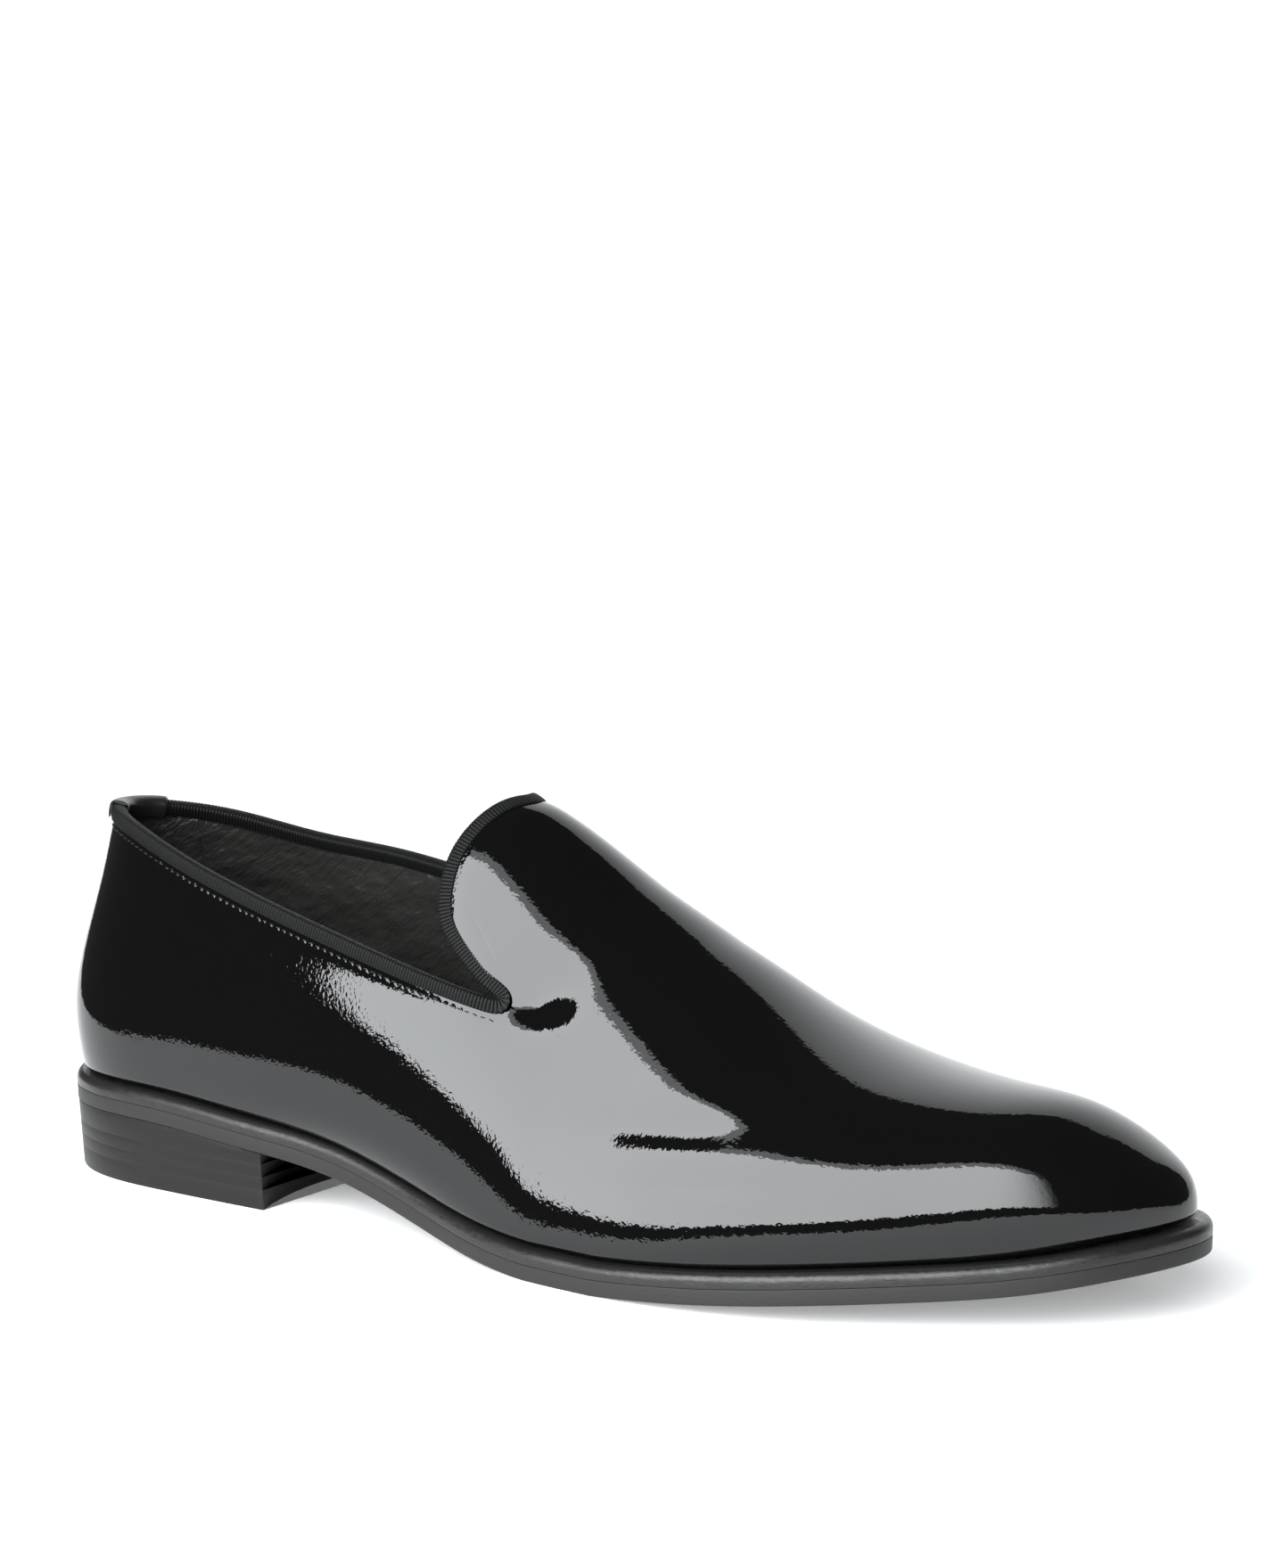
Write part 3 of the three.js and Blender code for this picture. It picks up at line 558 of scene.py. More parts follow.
def edgeLoop():
    outer = roundCorner(edgeRun(-1, 0, 1), edgeRun(-1, ribbon["pastNotch"], 2))
    inner = roundCorner(edgeRun(1, 0, 1), edgeRun(1, ribbon["pastNotch"], 2))
    points = np.concatenate([outer[0], inner[0][::-1][1:-1]])
    normals = np.concatenate([outer[1], inner[1][::-1][1:-1]])
    along = unit(np.roll(points, -1, axis=0) - np.roll(points, 1, axis=0))
    normals = unit(normals - along * np.sum(normals * along, axis=1, keepdims=True))
    return points, normals, np.cross(normals, along)


def resampleLoop(fields, places):
    # Values of each field at new places along the loop; fields are arrays with one row a point.
    run, total = fields["run"], fields["total"]
    knots = np.append(run, total)
    return [np.stack([np.interp(places, knots, np.append(f[:, k], f[0, k])) for k in range(3)], axis=-1)
            for f in (fields["points"], fields["normals"], fields["outs"])]


def measureLoop(offset):
    # Millimetres along the loop, measured this far below the cut edge.
    points, normals, outs = edgeLoop()
    middle = points - outs * offset
    step = np.linalg.norm(np.roll(middle, -1, axis=0) - middle, axis=1)
    return {"points": points, "normals": normals, "outs": outs,
            "run": np.append(0, np.cumsum(step)[:-1]), "total": step.sum()}


def foldProfile(gap, thick, crest, leg, arcSteps=9, legSteps=5):
    # Half a stadium over the wall: bulging legs outside and inside, a round crest, and a thin hollow within.
    wall = upper["wall"]
    half = wall / 2 + gap + thick
    t = np.linspace(0, 1, legSteps)[:-1]
    bulge = half - ribbon["bulge"] * (1 - t) ** 2
    arc = np.linspace(0, math.pi, arcSteps)
    outer = np.concatenate([
        np.stack([bulge, -leg + leg * t], axis=-1),
        np.stack([half * np.cos(arc), crest * np.sin(arc) ** ribbon["crestPower"]], axis=-1),
        np.stack([-bulge, -leg + leg * t], axis=-1)[::-1],
    ])
    close = wall / 2 + gap
    inner = np.array([[-close, -leg], [-close, -leg / 2], [-close, gap],
                      [close, gap], [close, -leg / 2], [close, -leg]])
    profile = np.concatenate([outer, inner])
    profile[:, 0] -= wall / 2
    return profile, len(outer)


def makeRibbon():
    # The fold's profile carried along the loop, drawn in to a valley between one rib and the next.
    fields = measureLoop(ribbon["middle"])
    ribs = int(round(fields["total"] / ribbon["pitch"]))
    material = ribbonFabric(fields["total"] / ribs)
    places = np.arange(ribs * ribbon["ribSteps"]) * fields["total"] / (ribs * ribbon["ribSteps"])
    points, normals, outs = resampleLoop(fields, places)
    normals, outs = unit(normals), unit(outs)
    profile, outerCount = foldProfile(ribbon["gap"], ribbon["thick"], ribbon["crest"], ribbon["leg"])
    middle = np.array([-upper["wall"] / 2, -ribbon["core"]])
    away = unit(profile - middle)
    phase = np.arange(len(places)) % ribbon["ribSteps"] / ribbon["ribSteps"]
    valley = ribbon["ribDepth"] * np.abs(2 * phase - 1) ** ribbon["ribPower"]
    shaped = np.repeat(profile[None], len(places), axis=0)
    shaped[:, :outerCount] -= away[None, :outerCount] * valley[:, None, None]
    rings = (points[:, None] + normals[:, None] * shaped[..., :1] + outs[:, None] * shaped[..., 1:])
    count = len(profile)
    faces = []
    index = np.arange(len(places) * count).reshape(len(places), count)
    following = np.roll(index, -1, axis=0)
    for k in range(count):
        faces.append(np.stack([index[:, k], index[:, (k + 1) % count],
                               following[:, (k + 1) % count], following[:, k]], axis=-1))
    around = np.append(0, np.cumsum(np.linalg.norm(np.diff(profile, axis=0), axis=1)))
    uv = np.stack(np.broadcast_arrays(places[:, None], around[None, :]), axis=-1).reshape(-1, 2)
    return addMesh("topline_ribbon", rings.reshape(-1, 3), np.concatenate(faces), material,
                   uv=uv, sharpDegrees=70, nodes=("quarter_binding", "vamp_binding"))


tab = {
    "half": 10.8, "gap": 0.08, "thick": 0.6, "leg": 3.0, "crest": 0.9, "round": 1.2,
    "steps": 60, "arcSteps": 15, "legSteps": 8,
    "pinch": 0.5, "roundedFrom": 0.6,  # how thin the ends get, and the share of the leg that is rounded off
}


def makeTab(material):
    # A strip folded over the ribbon at the back seam, with its corners rounded off.
    fields = measureLoop(0)
    places = np.linspace(-tab["half"], tab["half"], tab["steps"])
    points, normals, outs = resampleLoop(fields, places % fields["total"])
    normals, outs = unit(normals), unit(outs)
    gap = ribbon["gap"] + ribbon["thick"] + tab["gap"]
    crest = ribbon["crest"] + tab["crest"]
    profile, outerCount = foldProfile(gap, tab["thick"], crest, tab["leg"], tab["arcSteps"], tab["legSteps"])
    fromEnd = tab["half"] - np.abs(places)
    shrink = 1 - np.sqrt(np.clip(1 - np.clip(1 - fromEnd / tab["round"], 0, 1) ** 2, 0, 1))
    middle = np.array([-upper["wall"] / 2, -ribbon["core"]])
    shaped = np.repeat(profile[None], len(places), axis=0)
    pull = shrink[:, None, None] * tab["pinch"] * tab["thick"]
    shaped[:, :outerCount] -= unit(profile - middle)[None, :outerCount] * pull
    legPull = shrink[:, None] * tab["round"]
    shaped[..., 1] += np.where(profile[None, :, 1] < -tab["leg"] * tab["roundedFrom"], legPull, 0)
    rings = (points[:, None] + normals[:, None] * shaped[..., :1] + outs[:, None] * shaped[..., 1:])
    count = len(profile)
    index = np.arange(len(places) * count).reshape(len(places), count)
    faces = [list(face) for k in range(count) for face in stripFaces(index[:, k], index[:, (k + 1) % count])]
    for end in (index[0], index[-1]):
        # End caps: quads between the outer and inner lines of the profile.
        outerLine, innerLine = end[:outerCount], end[outerCount:][::-1]
        share = np.linspace(0, len(innerLine) - 1, outerCount).round().astype(int)
        for i in range(outerCount - 1):
            a, b, c, d = outerLine[i], outerLine[i + 1], innerLine[share[i + 1]], innerLine[share[i]]
            faces.append([a, b, c] if c == d else [a, b, c, d])
    return addMesh("heel_tab", rings.reshape(-1, 3), faces, material, sharpDegrees=50,
                   nodes=("back_tab",))


stitches = {
    "below": 4.0, "pitch": 2.2, "half": 0.72, "radius": 0.17, "first": 14, "last": 6, "seed": 7,
    "proud": 0.14, "dive": 0.3, "taper": 0.85, "rings": 7, "corners": 6,
    "unevenPlace": 0.12, "unevenHeight": 0.03, "unevenSlant": 0.16,
}


def stitchLine(side):
    # The seam's line on the quarter, a fixed way below the topline, as points and normals.
    station, turn = quarterGrid(side)
    wall = upperPoint(station, turn, side, False)
    far = panelMeasures(wall, 0, 0)[1]
    turn = np.array([np.interp(-stitches["below"], -far[k], turn[k]) for k in range(len(turn))])
    points, normals = upperPoint(station[:, 0], turn, side, False), upperNormal(station[:, 0], turn, side)
    depth = reliefDepth(points, np.full(len(points), stitches["below"]), side, False)
    return points - normals * depth[:, None], normals


def alongLine(run, field, places):
    return np.stack([np.interp(places, run, field[:, k]) for k in range(3)], axis=-1)


def makeStitches(material):
    # Waxed thread: rings around short arched axes, whose ends dive into the needle holes.
    chance = np.random.default_rng(stitches["seed"])
    t = np.linspace(-1, 1, stitches["rings"])
    turn = np.arange(stitches["corners"]) * 2 * math.pi / stitches["corners"]
    points, total, faces = [], 0, []
    for side in (-1, 1):
        line, normals = stitchLine(side)
        run = np.append(0, np.cumsum(np.linalg.norm(np.diff(line, axis=0), axis=1)))
        middle = np.arange(stitches["first"], run[-1] - stitches["last"], stitches["pitch"])
        middle = middle + chance.uniform(-stitches["unevenPlace"], stitches["unevenPlace"], len(middle))
        places = middle[:, None] + stitches["half"] * t
        up = unit(alongLine(run, normals, places))
        along = unit(alongLine(run, line, middle + 0.5) - alongLine(run, line, middle - 0.5))[:, None]
        over = np.cross(up, along)
        uneven = chance.uniform(-stitches["unevenHeight"], stitches["unevenHeight"], (len(middle), 1))
        height = stitches["proud"] - stitches["dive"] * t**4 + uneven
        slant = chance.uniform(-stitches["unevenSlant"], stitches["unevenSlant"], (len(middle), 1)) * t
        axis = alongLine(run, line, places) + up * height[..., None] + over * slant[..., None]
        radius = (stitches["radius"] * np.sqrt(1 - stitches["taper"] * t**2))[None, :, None, None]
        ring = np.cos(turn)[:, None] * over[:, :, None] + np.sin(turn)[:, None] * up[:, :, None]
        points.append((axis[:, :, None] + ring * radius).reshape(-1, 3))
        shape = (len(middle), stitches["rings"], stitches["corners"])
        index = total + np.arange(math.prod(shape)).reshape(shape)
        beside = np.roll(index, -1, axis=2)
        quads = np.stack([index[:, :-1], beside[:, :-1], beside[:, 1:], index[:, 1:]], axis=-1)
        faces += quads.reshape(-1, 4).tolist()
        faces += index[:, 0, ::-1].tolist() + index[:, -1].tolist()
        total += index.size
    return addMesh("topline_stitches", np.concatenate(points), faces, material)


def makePlate(name, profile, topAt, bottomAt, outAt, material, nodes, breast=False, across=10):
    # Rows across the foot at each station, with wall rows that follow the profile around the outline.
    steps = heel["steps"] if breast else sole["steps"]
    levels = []
    for inset, drop in profile:
        sides = []
        for side in (-1, 1):
            stations = np.linspace(0, 1, steps + 1)
            if breast:
                trial = np.linspace(heel["breastFrom"], heel["breastUntil"], heel["breastTrials"])
                height = topAt(trial) + (bottomAt(trial) - topAt(trial)) * drop
                line = outlinePoint(trial, side, outAt(trial, height) - inset, height)
                beyond = line[:, 0] > breastX(line[:, 1]) - inset
                stations = np.linspace(0, trial[np.argmax(beyond)], steps + 1)
            height = topAt(stations) + (bottomAt(stations) - topAt(stations)) * drop
            sides.append(outlinePoint(stations, side, outAt(stations, height) - inset, height))
        share = np.linspace(0, 1, across + 1)[:, None]
        front = sides[0][-1] * (1 - share) + sides[1][-1] * share
        if breast:
            front[1:-1, 0] = breastX(front[1:-1, 1]) - inset
        levels.append((sides[0], sides[1], front))
    points, faces, total = [], [], 0
    for level, flip in ((levels[0], False), (levels[-1], True)):
        share = np.linspace(0, 1, across + 1)[None, :, None]
        grid = level[0][:, None] * (1 - share) + level[1][:, None] * share
        if breast:
            grid = np.concatenate([grid, level[2][None]], axis=0)
        points.append(grid.reshape(-1, 3))
        faces.append(gridFaces(total, grid.shape[0], grid.shape[1], flip))
        total += grid.shape[0] * grid.shape[1]
    loops = []
    for left, right, front in levels:
        middle = front[1:-1] if breast else left[:0]
        ring = np.concatenate([left, middle, right[::-1][(0 if breast else 1) : -1]])
        loops.append(total + np.arange(len(ring)))
        points.append(ring)
        total += len(ring)
    for above, below in zip(loops[:-1], loops[1:]):
        faces.append(stripFaces(above, below, closed=True))
    return addMesh(name, np.concatenate(points), np.concatenate(faces), material,
                   sharpDegrees=35, nodes=nodes)


def breastX(y):
    # The heel's breast in plan: a shallow curve, hollowed towards the back.
    t = np.clip((1 - y / heel["curveHalf"]) / 2, 0, 1)
    return heel["length"] - 4 * heel["breastDepth"] * t * (1 - t)


def edgeProfile(top, bottom, thickness, steps=7):
    # Quarter rounds of two radii at an edge's top and bottom corners: inset, and share of the thickness.
    turn = np.linspace(0, math.pi / 2, steps)
    over = np.stack([top * (1 - np.sin(turn)), top * (1 - np.cos(turn)) / thickness], axis=-1)
    under = np.stack([bottom * (1 - np.sin(turn)), 1 - bottom * (1 - np.cos(turn)) / thickness], axis=-1)
    return np.concatenate([over, under[::-1]])


print("surfaces are defined")


def compute(tree, operation, first, second=0.0):
    return addNode(tree, "ShaderNodeMath", {"operation": operation}, {0: first, 1: second}).outputs[0]


def bell(tree, value, middle, width):
    # 1 at the middle, falling off as a bell of the given half width.
    share = compute(tree, "DIVIDE", compute(tree, "SUBTRACT", value, middle), width)
    return compute(tree, "EXPONENT", compute(tree, "MULTIPLY", compute(tree, "MULTIPLY", share, share), -1.0))


def lineBell(tree, coordinates, start, end, normal, width, depth):
    # A bell along a line on the surface, from start to end in the last's millimetres. It also fades over depth
    # along the normal, so that it doesn't reach the far wall.
    start, end = np.array(start, float), np.array(end, float)
    along = unit(end - start)
    over = unit(np.cross(normal, along))
    middle = tuple(((start + end) / 2 + place) / 1000)
    offset = addNode(tree, "ShaderNodeVectorMath", {"operation": "SUBTRACT"}, {0: coordinates, 1: middle})
    parts = []
    reach = np.linalg.norm(end - start) / 2
    for axis, half in ((along, reach), (over, width), (unit(np.array(normal, float)), depth)):
        share = addNode(tree, "ShaderNodeVectorMath", {"operation": "DOT_PRODUCT"},
                        {0: offset.outputs[0], 1: tuple(axis)})
        parts.append(bell(tree, share.outputs["Value"], 0.0, half / 1000))
    return compute(tree, "MULTIPLY", compute(tree, "MULTIPLY", parts[0], parts[1]), parts[2])


patentMarks = {
    # The fine crease at the throat: its ends, the way the surface faces, half its width, and its reach inwards.
    "slit": ((139.6, -27.2, 76.4), (149.8, -30.4, 64.8), (0.15, -0.91, 0.4), 0.55, 6), "slitDepth": 0.13,
    "holes": 0.4, "holeDepth": 0.07, "holeJitter": 0.7, "holesEnd": 146,
}


def patentLeather():
    # Patent leather: black hide under clear lacquer that was flowed on and baked. Mirror gloss with a faint
    # orange peel, a dimple at every needle hole below the ribbon, and one fine crease at the throat.
    material, tree, main = newMaterial("patent_leather_black", {
        "Base Color": linearColour("#050505"), "Roughness": 0.35, "IOR": 1.5, "Specular IOR Level": 0.0,
        "Coat Weight": 1.0, "Coat Roughness": 0.018, "Coat IOR": 1.5,
    })
    where = objectCoordinates(tree)
    peel = noiseHeight(tree, where, 1.0, detail=1.5, roughness=0.5)
    wave = noiseHeight(tree, where, 14.0, detail=1.0)
    lacquer = bump(tree, wave, 0.04, bump(tree, peel, 0.02))
    # On the UV map X runs along the cut edge and Y away from it, in millimetres.
    uv = addNode(tree, "ShaderNodeSeparateXYZ", None, {"Vector": addNode(tree, "ShaderNodeUVMap").outputs[0]})
    jitter = compute(tree, "MULTIPLY", compute(tree, "SUBTRACT", noiseHeight(tree, where, 2.6), 0.5),
                     patentMarks["holeJitter"])
    along = compute(tree, "SUBTRACT", uv.outputs["X"], stitches["pitch"] / 2)
    along = compute(tree, "DIVIDE", along, stitches["pitch"])
    phase = compute(tree, "FRACT", compute(tree, "ADD", jitter, along))
    below = compute(tree, "ADD", uv.outputs["Y"], jitter)
    hole = compute(tree, "MULTIPLY", bell(tree, phase, 0.5, patentMarks["holes"] / stitches["pitch"]),
                   bell(tree, below, stitches["below"], patentMarks["holes"]))
    onQuarter = compute(tree, "LESS_THAN", uv.outputs["X"], float(patentMarks["holesEnd"]))
    hole = compute(tree, "MULTIPLY", compute(tree, "MULTIPLY", hole, onQuarter), -1.0)
    lacquer = bump(tree, hole, patentMarks["holeDepth"], lacquer)
    crease = lineBell(tree, where, *patentMarks["slit"])
    lacquer = bump(tree, compute(tree, "MULTIPLY", crease, -1.0), patentMarks["slitDepth"], lacquer)
    tree.links.new(lacquer, main.inputs["Coat Normal"])
    return material


# The heel grip's seam in the lining, given in the same way.
liningMarks = {"seam": ((23, 18, 86), (17, 18, 40), (0, -1, 0), 0.4, 15), "seamDepth": 0.4}


def liningLeather():
    # Black calf lining, drum dyed and lightly finished: satin, with short slanting wrinkles, soft hollows and
    # the seam of the heel grip.
    material, tree, main = newMaterial("lining_leather_black", {
        "Base Color": linearColour("#201f1e"), "Roughness": 0.31, "IOR": 1.5,
    })
    where = objectCoordinates(tree)
    slant = addNode(tree, "ShaderNodeMapping", None, {"Vector": where, "Rotation": (0, math.radians(35), 0)})
    wrinkle = noiseHeight(tree, slant.outputs[0], 1.7, detail=3.0, roughness=0.6, stretch=(0.4, 0.7, 1.4))
    soft = noiseHeight(tree, where, 13.0, detail=2.0, stretch=(0.8, 1, 1.3))
    grain = noiseHeight(tree, where, 0.45, detail=2.0)
    seam = lineBell(tree, where, *liningMarks["seam"])
    shape = bump(tree, wrinkle, 0.6, bump(tree, soft, 2.4, bump(tree, grain, 0.04)))
    shape = bump(tree, compute(tree, "MULTIPLY", seam, -1.0), liningMarks["seamDepth"], shape)
    tree.links.new(shape, main.inputs["Normal"])
    return material


def sockLeather():
    # The sock lining on the insole: the same leather, duller, with a pressed grain.
    material, tree, main = newMaterial("sock_leather_black", {
        "Base Color": linearColour("#151413"), "Roughness": 0.5, "IOR": 1.45,
    })
    where = objectCoordinates(tree)
    grain = noiseHeight(tree, where, 0.9, detail=4.0, roughness=0.6)
    tree.links.new(bump(tree, grain, 0.08), main.inputs["Normal"])
    return material


def ribbonFabric(pitch):
    # Grosgrain, woven of fine silk-like yarn over thick weft: the ribs are in the mesh, with shade painted into
    # their valleys as a darker base colour and their crests painted lighter, and the yarn is in the bump.
    material, tree, main = newMaterial("grosgrain_ribbon_black", {
        "Roughness": 0.52, "IOR": 1.45, "Specular IOR Level": 0.16,
        "Sheen Weight": 0.02, "Sheen Roughness": 0.4,
    })
    uv = addNode(tree, "ShaderNodeUVMap").outputs[0]
    along = addNode(tree, "ShaderNodeSeparateXYZ", None, {"Vector": uv}).outputs["X"]
    phase = compute(tree, "FRACT", compute(tree, "DIVIDE", along, pitch))
    # Painted shade: the base colour is darker in each rib's valley and lighter on its crest.
    ribValleyShade = addNode(tree, "ShaderNodeMix", {"data_type": "RGBA"}, {
        "Factor": bell(tree, phase, 0.5, 0.3), "A": linearColour("#020202"), "B": linearColour("#0c0c0c")})
    tree.links.new(ribValleyShade.outputs["Result"], main.inputs["Base Color"])
    mapping = addNode(tree, "ShaderNodeMapping", None, {"Vector": uv, "Scale": (2.4, 9.0, 1)})
    yarn = addNode(tree, "ShaderNodeTexNoise", None, {
        "Vector": mapping.outputs[0], "Scale": 1.0, "Detail": 2.0}).outputs["Fac"]
    tree.links.new(bump(tree, yarn, 0.05), main.inputs["Normal"])
    return material


def waxedThread():
    # Polyester sewing thread, waxed black.
    return newMaterial("waxed_thread_black", {
        "Base Color": linearColour("#080808"), "Roughness": 0.5, "IOR": 1.45})[0]


def tabLeather():
    # Smooth aniline calf, edge dyed: a soft gloss with a fine pore.
    material, tree, main = newMaterial("smooth_calf_black", {
        "Base Color": linearColour("#141413"), "Roughness": 0.36, "IOR": 1.48,
    })
    where = objectCoordinates(tree)
    pore = noiseHeight(tree, where, 0.55, detail=3.0)
    soft = noiseHeight(tree, where, 6.0)
    tree.links.new(bump(tree, soft, 0.25, bump(tree, pore, 0.03)), main.inputs["Normal"])
    return material


def burnishedEdge():
    # Sole leather edge, inked, waxed and ironed: fairly glossy along the round, with fibres across it.
    material, tree, main = newMaterial("sole_edge_burnished", {
        "Base Color": linearColour("#181716"), "Roughness": 0.34, "IOR": 1.5, "Specular IOR Level": 0.42,
    })
    where = objectCoordinates(tree)
    fibre = noiseHeight(tree, where, 0.7, detail=4.0, roughness=0.62, stretch=(0.5, 0.5, 1.5))
    dents = noiseHeight(tree, where, 5.0, detail=2.0, stretch=(0.4, 0.4, 1))
    tree.links.new(bump(tree, dents, 0.25, bump(tree, fibre, 0.07)), main.inputs["Normal"])
    rough = addNode(tree, "ShaderNodeMapRange", None, {
        "Value": fibre, "From Min": 0.35, "From Max": 0.7, "To Min": 0.27, "To Max": 0.46})
    tree.links.new(rough.outputs[0], main.inputs["Roughness"])
    return material


def soleLeather():
    # The outsole: black-stained sole leather, its edge trimmed flat and inked, duller than the round layer.
    material, tree, main = newMaterial("sole_leather_inked", {
        "Base Color": linearColour("#1b1a19"), "Roughness": 0.5, "IOR": 1.48, "Specular IOR Level": 0.35,
    })
    where = objectCoordinates(tree)
    fibre = noiseHeight(tree, where, 0.8, detail=4.0, roughness=0.6, stretch=(0.4, 0.4, 1.2))
    tree.links.new(bump(tree, fibre, 0.06), main.inputs["Normal"])
    return material


def heelLeather(name, lineMm, lineDepth):
    # Stacked lifts, sanded and inked: faint level lines where one layer of board meets the next.
    material, tree, main = newMaterial(name, {
        "Base Color": linearColour("#141312"), "Roughness": 0.45, "IOR": 1.48, "Specular IOR Level": 0.22,
    })
    where = objectCoordinates(tree)
    layers = noiseHeight(tree, where, lineMm, detail=2.0, stretch=(0.02, 0.02, 1))
    fibre = noiseHeight(tree, where, 0.6, detail=3.0, stretch=(0.5, 0.5, 1.4))
    tree.links.new(bump(tree, layers, lineDepth, bump(tree, fibre, 0.05)), main.inputs["Normal"])
    return material


patent = patentLeather()
lining = liningLeather()
sock = sockLeather()
thread = waxedThread()
calf = tabLeather()
edgeFinish = burnishedEdge()
soleFinish = soleLeather()
liftFinish = heelLeather("heel_lifts_inked", 0.9, 0.035)
topPieceFinish = heelLeather("heel_top_piece_rubber", 2.5, 0.015)
print("materials are made")

makeShell("patent_upper", 0, upper["skin"], patent, nodes=("upper",))
makeShell("calf_lining", upper["skin"] + 0.05, upper["wall"], lining)
makeRibbon()
makeStitches(thread)
makeTab(calf)
print("upper is made")


def insoleBase(station):
    return soleTopAt(station) + sole["clearance"]


def insoleTop(station):
    return insoleBase(station) + sole["insole"]


def insoleOut(station, height):
    return np.full(np.shape(station), -(upper["wall"] + upper["turnRadius"] + sole["insoleGap"]))


def outsoleTop(station):
    return groundAt(station) + sole["outsole"] + sole["outsoleLap"]


def soleOut(station, height):
    return edgeAt(station)


def wedgeTop(station):
    return groundAt(station) - heel["wedgeSink"]


def heelOut(station, height):
    # The heel's sides lean in a little towards the ground.
    return sole["edgeHeel"] - heel["lip"] - heel["taper"] * (1 - height / last["heelRise"])


def level(height):
    return lambda station: np.full(np.shape(station), float(height))


makePlate("sock_lining", edgeProfile(*sole["sockRound"], sole["insole"]), insoleTop, insoleBase,
          insoleOut, sock, ("insole",))
makePlate("midsole_edge", edgeProfile(*sole["midsoleRound"], sole["midsole"]), soleTopAt, midsoleBaseAt,
          soleOut, edgeFinish, ("midsole",))
makePlate("outsole_plate", edgeProfile(*sole["outsoleRound"], sole["outsole"]), outsoleTop, groundAt,
          soleOut, soleFinish, ("outsole",))
upperLift = heel["topPiece"] + heel["lift"]
wedgeBase = heel["topPiece"] + 2 * heel["lift"]
heelLayers = [
    ("wedge_layer", "heel_wedge", wedgeTop, level(wedgeBase), liftFinish, "heel_leather"),
    ("lift_layer_upper", "heel_lift_upper", level(wedgeBase), level(upperLift), liftFinish, "heel_leather"),
    ("lift_layer_lower", "heel_lift_lower", level(upperLift), level(heel["topPiece"]), liftFinish,
     "heel_leather"),
    ("top_piece_layer", "heel_top_piece", level(heel["topPiece"]), level(0), topPieceFinish, "heel_rubber"),
]
for name, node, topAt, bottomAt, finish, slotName in heelLayers:
    stations = np.array([0.1, 0.2])
    thickness = float(np.mean(topAt(stations) - bottomAt(stations)))
    profile = edgeProfile(heel["layerEdge"], heel["layerEdge"], thickness, 3)
    makePlate(name, profile, topAt, bottomAt, heelOut, finish, (node,), breast=True)
print("sole and heel are made")

# The picture: 1440 by 1759, taken from the front of the outer side, a little above the shoe.
picture = {"width": 1440, "height": 1759, "focal": 3783.7, "centreX": 642.43, "centreY": 1161.68}
aim = {"turn": 34.814, "rise": 11.416, "distance": 784.63, "x": 148.5, "y": 0, "z": 45}


def makeCamera():
    turn, rise = math.radians(aim["turn"]), math.radians(aim["rise"])
    right = Vector((math.cos(turn), math.sin(turn), 0))
    back = Vector((math.sin(turn) * math.cos(rise), -math.cos(turn) * math.cos(rise), math.sin(rise)))
    up = back.cross(right)
    target = Vector([(aim[axis] + place[k]) / 1000 for k, axis in enumerate("xyz")])
    data = bpy.data.cameras.new("camera")
    data.sensor_width = 36
    data.lens = picture["focal"] / picture["height"] * data.sensor_width
    data.shift_x = (picture["width"] / 2 - picture["centreX"]) / picture["height"]
    data.shift_y = (picture["centreY"] - picture["height"] / 2) / picture["height"]
    data.clip_start = 0.01
    camera = bpy.data.objects.new("camera", data)
    camera.matrix_world = Matrix.Translation(target + back * aim["distance"] / 1000) @ Matrix(
        (right, up, back)).transposed().to_4x4()
    bpy.context.scene.collection.objects.link(camera)
    bpy.context.scene.camera = camera


def turned(right, away, height):
    # Metres from the aimed point's place on the floor: to the picture's right, away from the camera, and up.
    turn = math.radians(aim["turn"])
    x = (aim["x"] + place[0]) / 1000 + right * math.cos(turn) - away * math.sin(turn)
    y = (aim["y"] + place[1]) / 1000 + right * math.sin(turn) + away * math.cos(turn)
    return (x, y, height)


# The studio: a paper sweep that ends just outside the picture, and one large softbox at the camera's left.
studio = {
    "leftFront": -0.25, "leftBack": -0.52, "right": 2.2, "front": -0.26, "back": 1.7, "bend": 0.7, "top": 2.5,
    "bendSteps": 24,
    "boxTurn": -40, "boxAway": 1.25, "boxLeft": -1.0, "boxRight": 2.3, "boxLow": 0.08, "boxHigh": 1.78,
    "boxFade": 1.7, "boxGlow": 10.0, "lip": 0.36, "lipGlow": 2.6, "lipBehind": 0.02,
    "boxTint": (0.95, 0.98, 1, 1), "room": 0.06, "paper": 0.84, "paperGlow": 0.24,
}


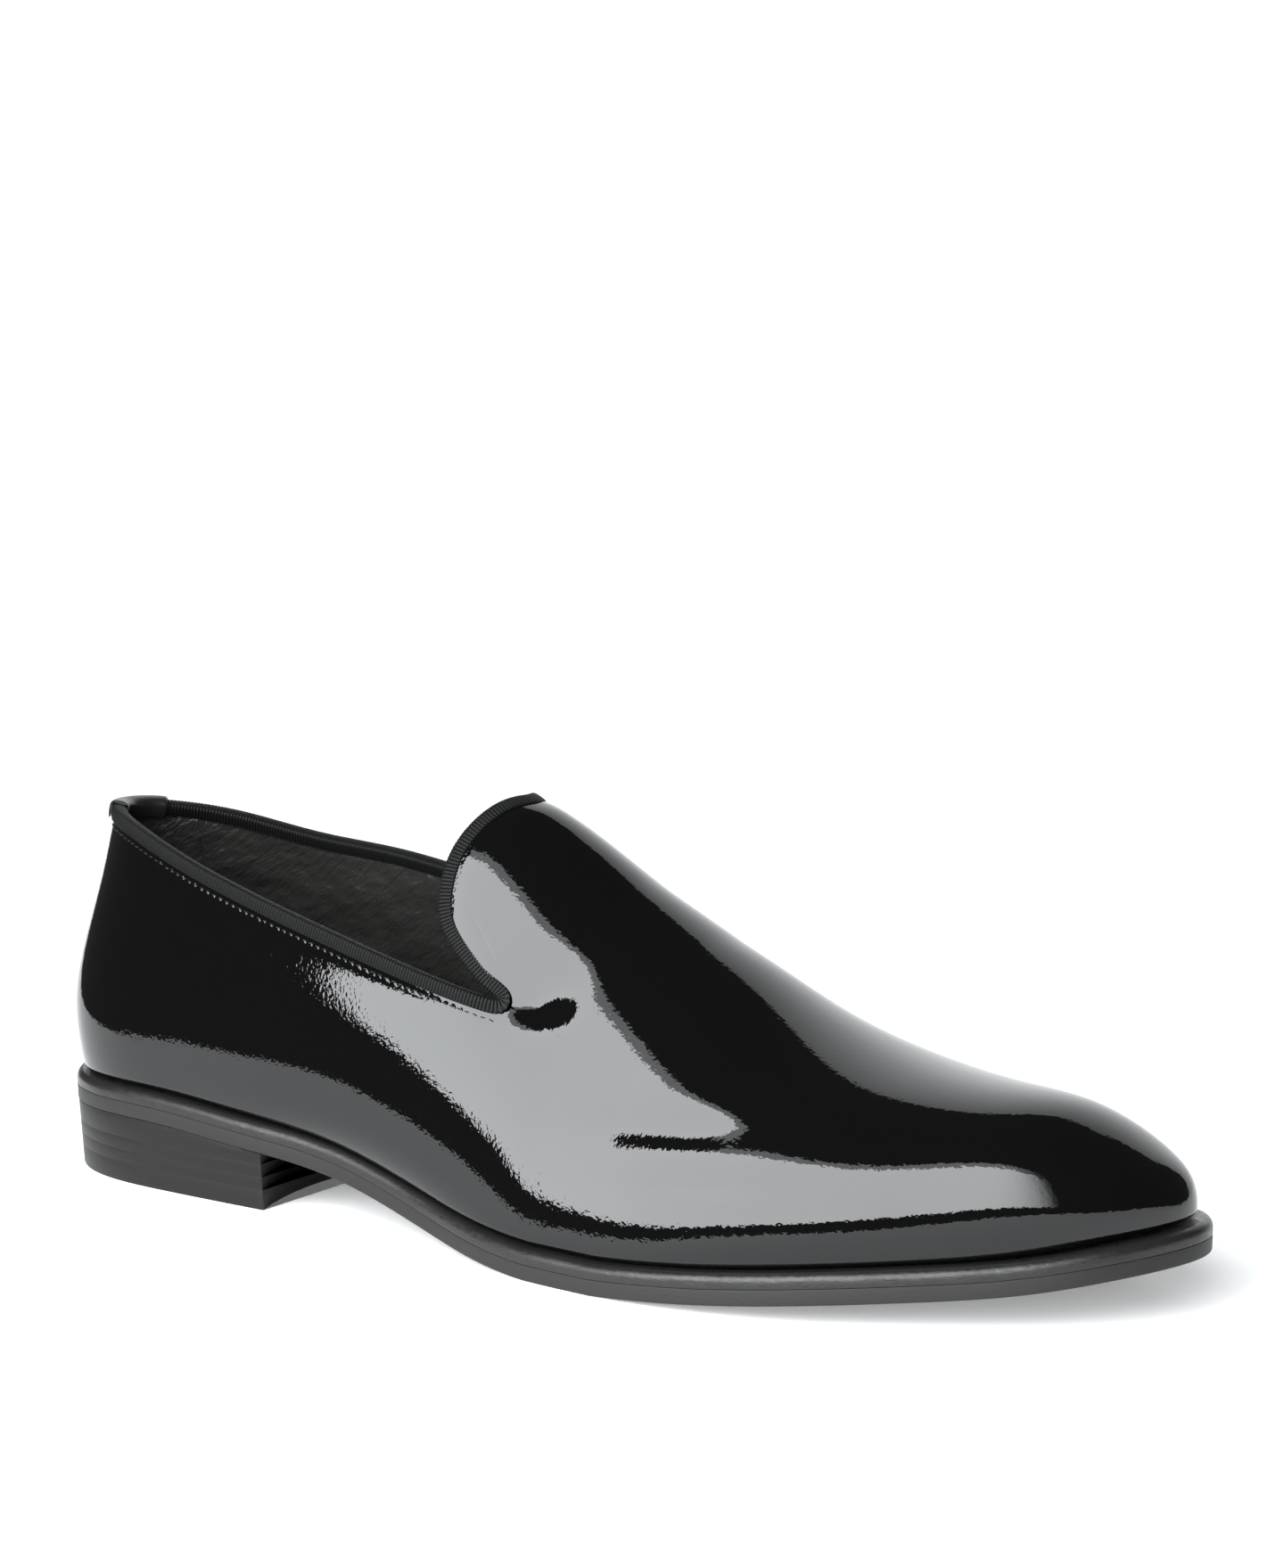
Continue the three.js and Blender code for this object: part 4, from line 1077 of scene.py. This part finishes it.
def makeSweep():
    # Matt white background paper. Its faint glow stands in for a background lamp.
    paper = newMaterial("paper_sweep_white", {
        "Base Color": (studio["paper"], studio["paper"], studio["paper"], 1), "Roughness": 0.95,
        "Specular IOR Level": 0.1, "Emission Color": (1, 1, 1, 1), "Emission Strength": studio["paperGlow"]})[0]
    angle = np.linspace(0, math.pi / 2, studio["bendSteps"])
    bend = studio["bend"]
    line = [(studio["front"], 0.0)]
    line += [(studio["back"] - bend + bend * math.sin(a), bend - bend * math.cos(a)) for a in angle]
    line += [(studio["back"], studio["top"])]
    corners = []
    for away, height in line:
        share = (away - studio["front"]) / (studio["back"] - studio["front"])
        left = studio["leftFront"] + (studio["leftBack"] - studio["leftFront"]) * share
        corners += [turned(left, away, height), turned(studio["right"], away, height)]
    faces = [(2 * i, 2 * i + 1, 2 * i + 3, 2 * i + 2) for i in range(len(line) - 1)]
    mesh = bpy.data.meshes.new("paper_sweep")
    mesh.from_pydata(corners, [], faces)
    mesh.shade_smooth()
    mesh.materials.append(paper)
    sweep = bpy.data.objects.new("paper_sweep", mesh)
    bpy.context.scene.collection.objects.link(sweep)


def makeSoftbox(name, glow, margin, back):
    # A wide sheet of light, full over most of its width and fading towards the camera's side.
    material = bpy.data.materials.new(name)
    material.use_nodes = True
    tree = material.node_tree
    tree.nodes.clear()
    left, right, low = studio["boxLeft"], studio["boxRight"], studio["boxLow"]
    high = studio["boxHigh"] + margin
    across = addNode(tree, "ShaderNodeSeparateXYZ", None, {"Vector": objectCoordinates(tree)}).outputs["X"]
    fade = addNode(tree, "ShaderNodeMapRange", {"interpolation_type": "SMOOTHSTEP"}, {
        "Value": across, "From Min": right, "From Max": right - studio["boxFade"],
        "To Min": 0.0, "To Max": glow})
    light = addNode(tree, "ShaderNodeEmission", None, {"Color": studio["boxTint"], "Strength": fade.outputs[0]})
    addNode(tree, "ShaderNodeOutputMaterial", None, {"Surface": light.outputs[0]})
    mesh = bpy.data.meshes.new(name)
    mesh.from_pydata([(left, 0, low), (right, 0, low), (right, 0, high), (left, 0, high)], [], [(0, 1, 2, 3)])
    mesh.materials.append(material)
    box = bpy.data.objects.new(name, mesh)
    turn = math.radians(studio["boxTurn"])
    away = studio["boxAway"] + back
    box.location = turned(math.sin(turn) * away, -math.cos(turn) * away, 0)
    box.rotation_euler = (0, 0, math.radians(aim["turn"]) + turn)
    bpy.context.scene.collection.objects.link(box)


makeCamera()
makeSweep()
makeSoftbox("softbox_front", studio["boxGlow"], 0, 0)
makeSoftbox("softbox_lip", studio["lipGlow"], studio["lip"], studio["lipBehind"])
world = bpy.data.worlds.new("dim_room")
world.use_nodes = True
world.node_tree.nodes["Background"].inputs["Color"].default_value = (1, 1, 1, 1)
world.node_tree.nodes["Background"].inputs["Strength"].default_value = studio["room"]
bpy.context.scene.world = world
bpy.context.scene.view_settings.view_transform = "Standard"
print("camera and lights are made")
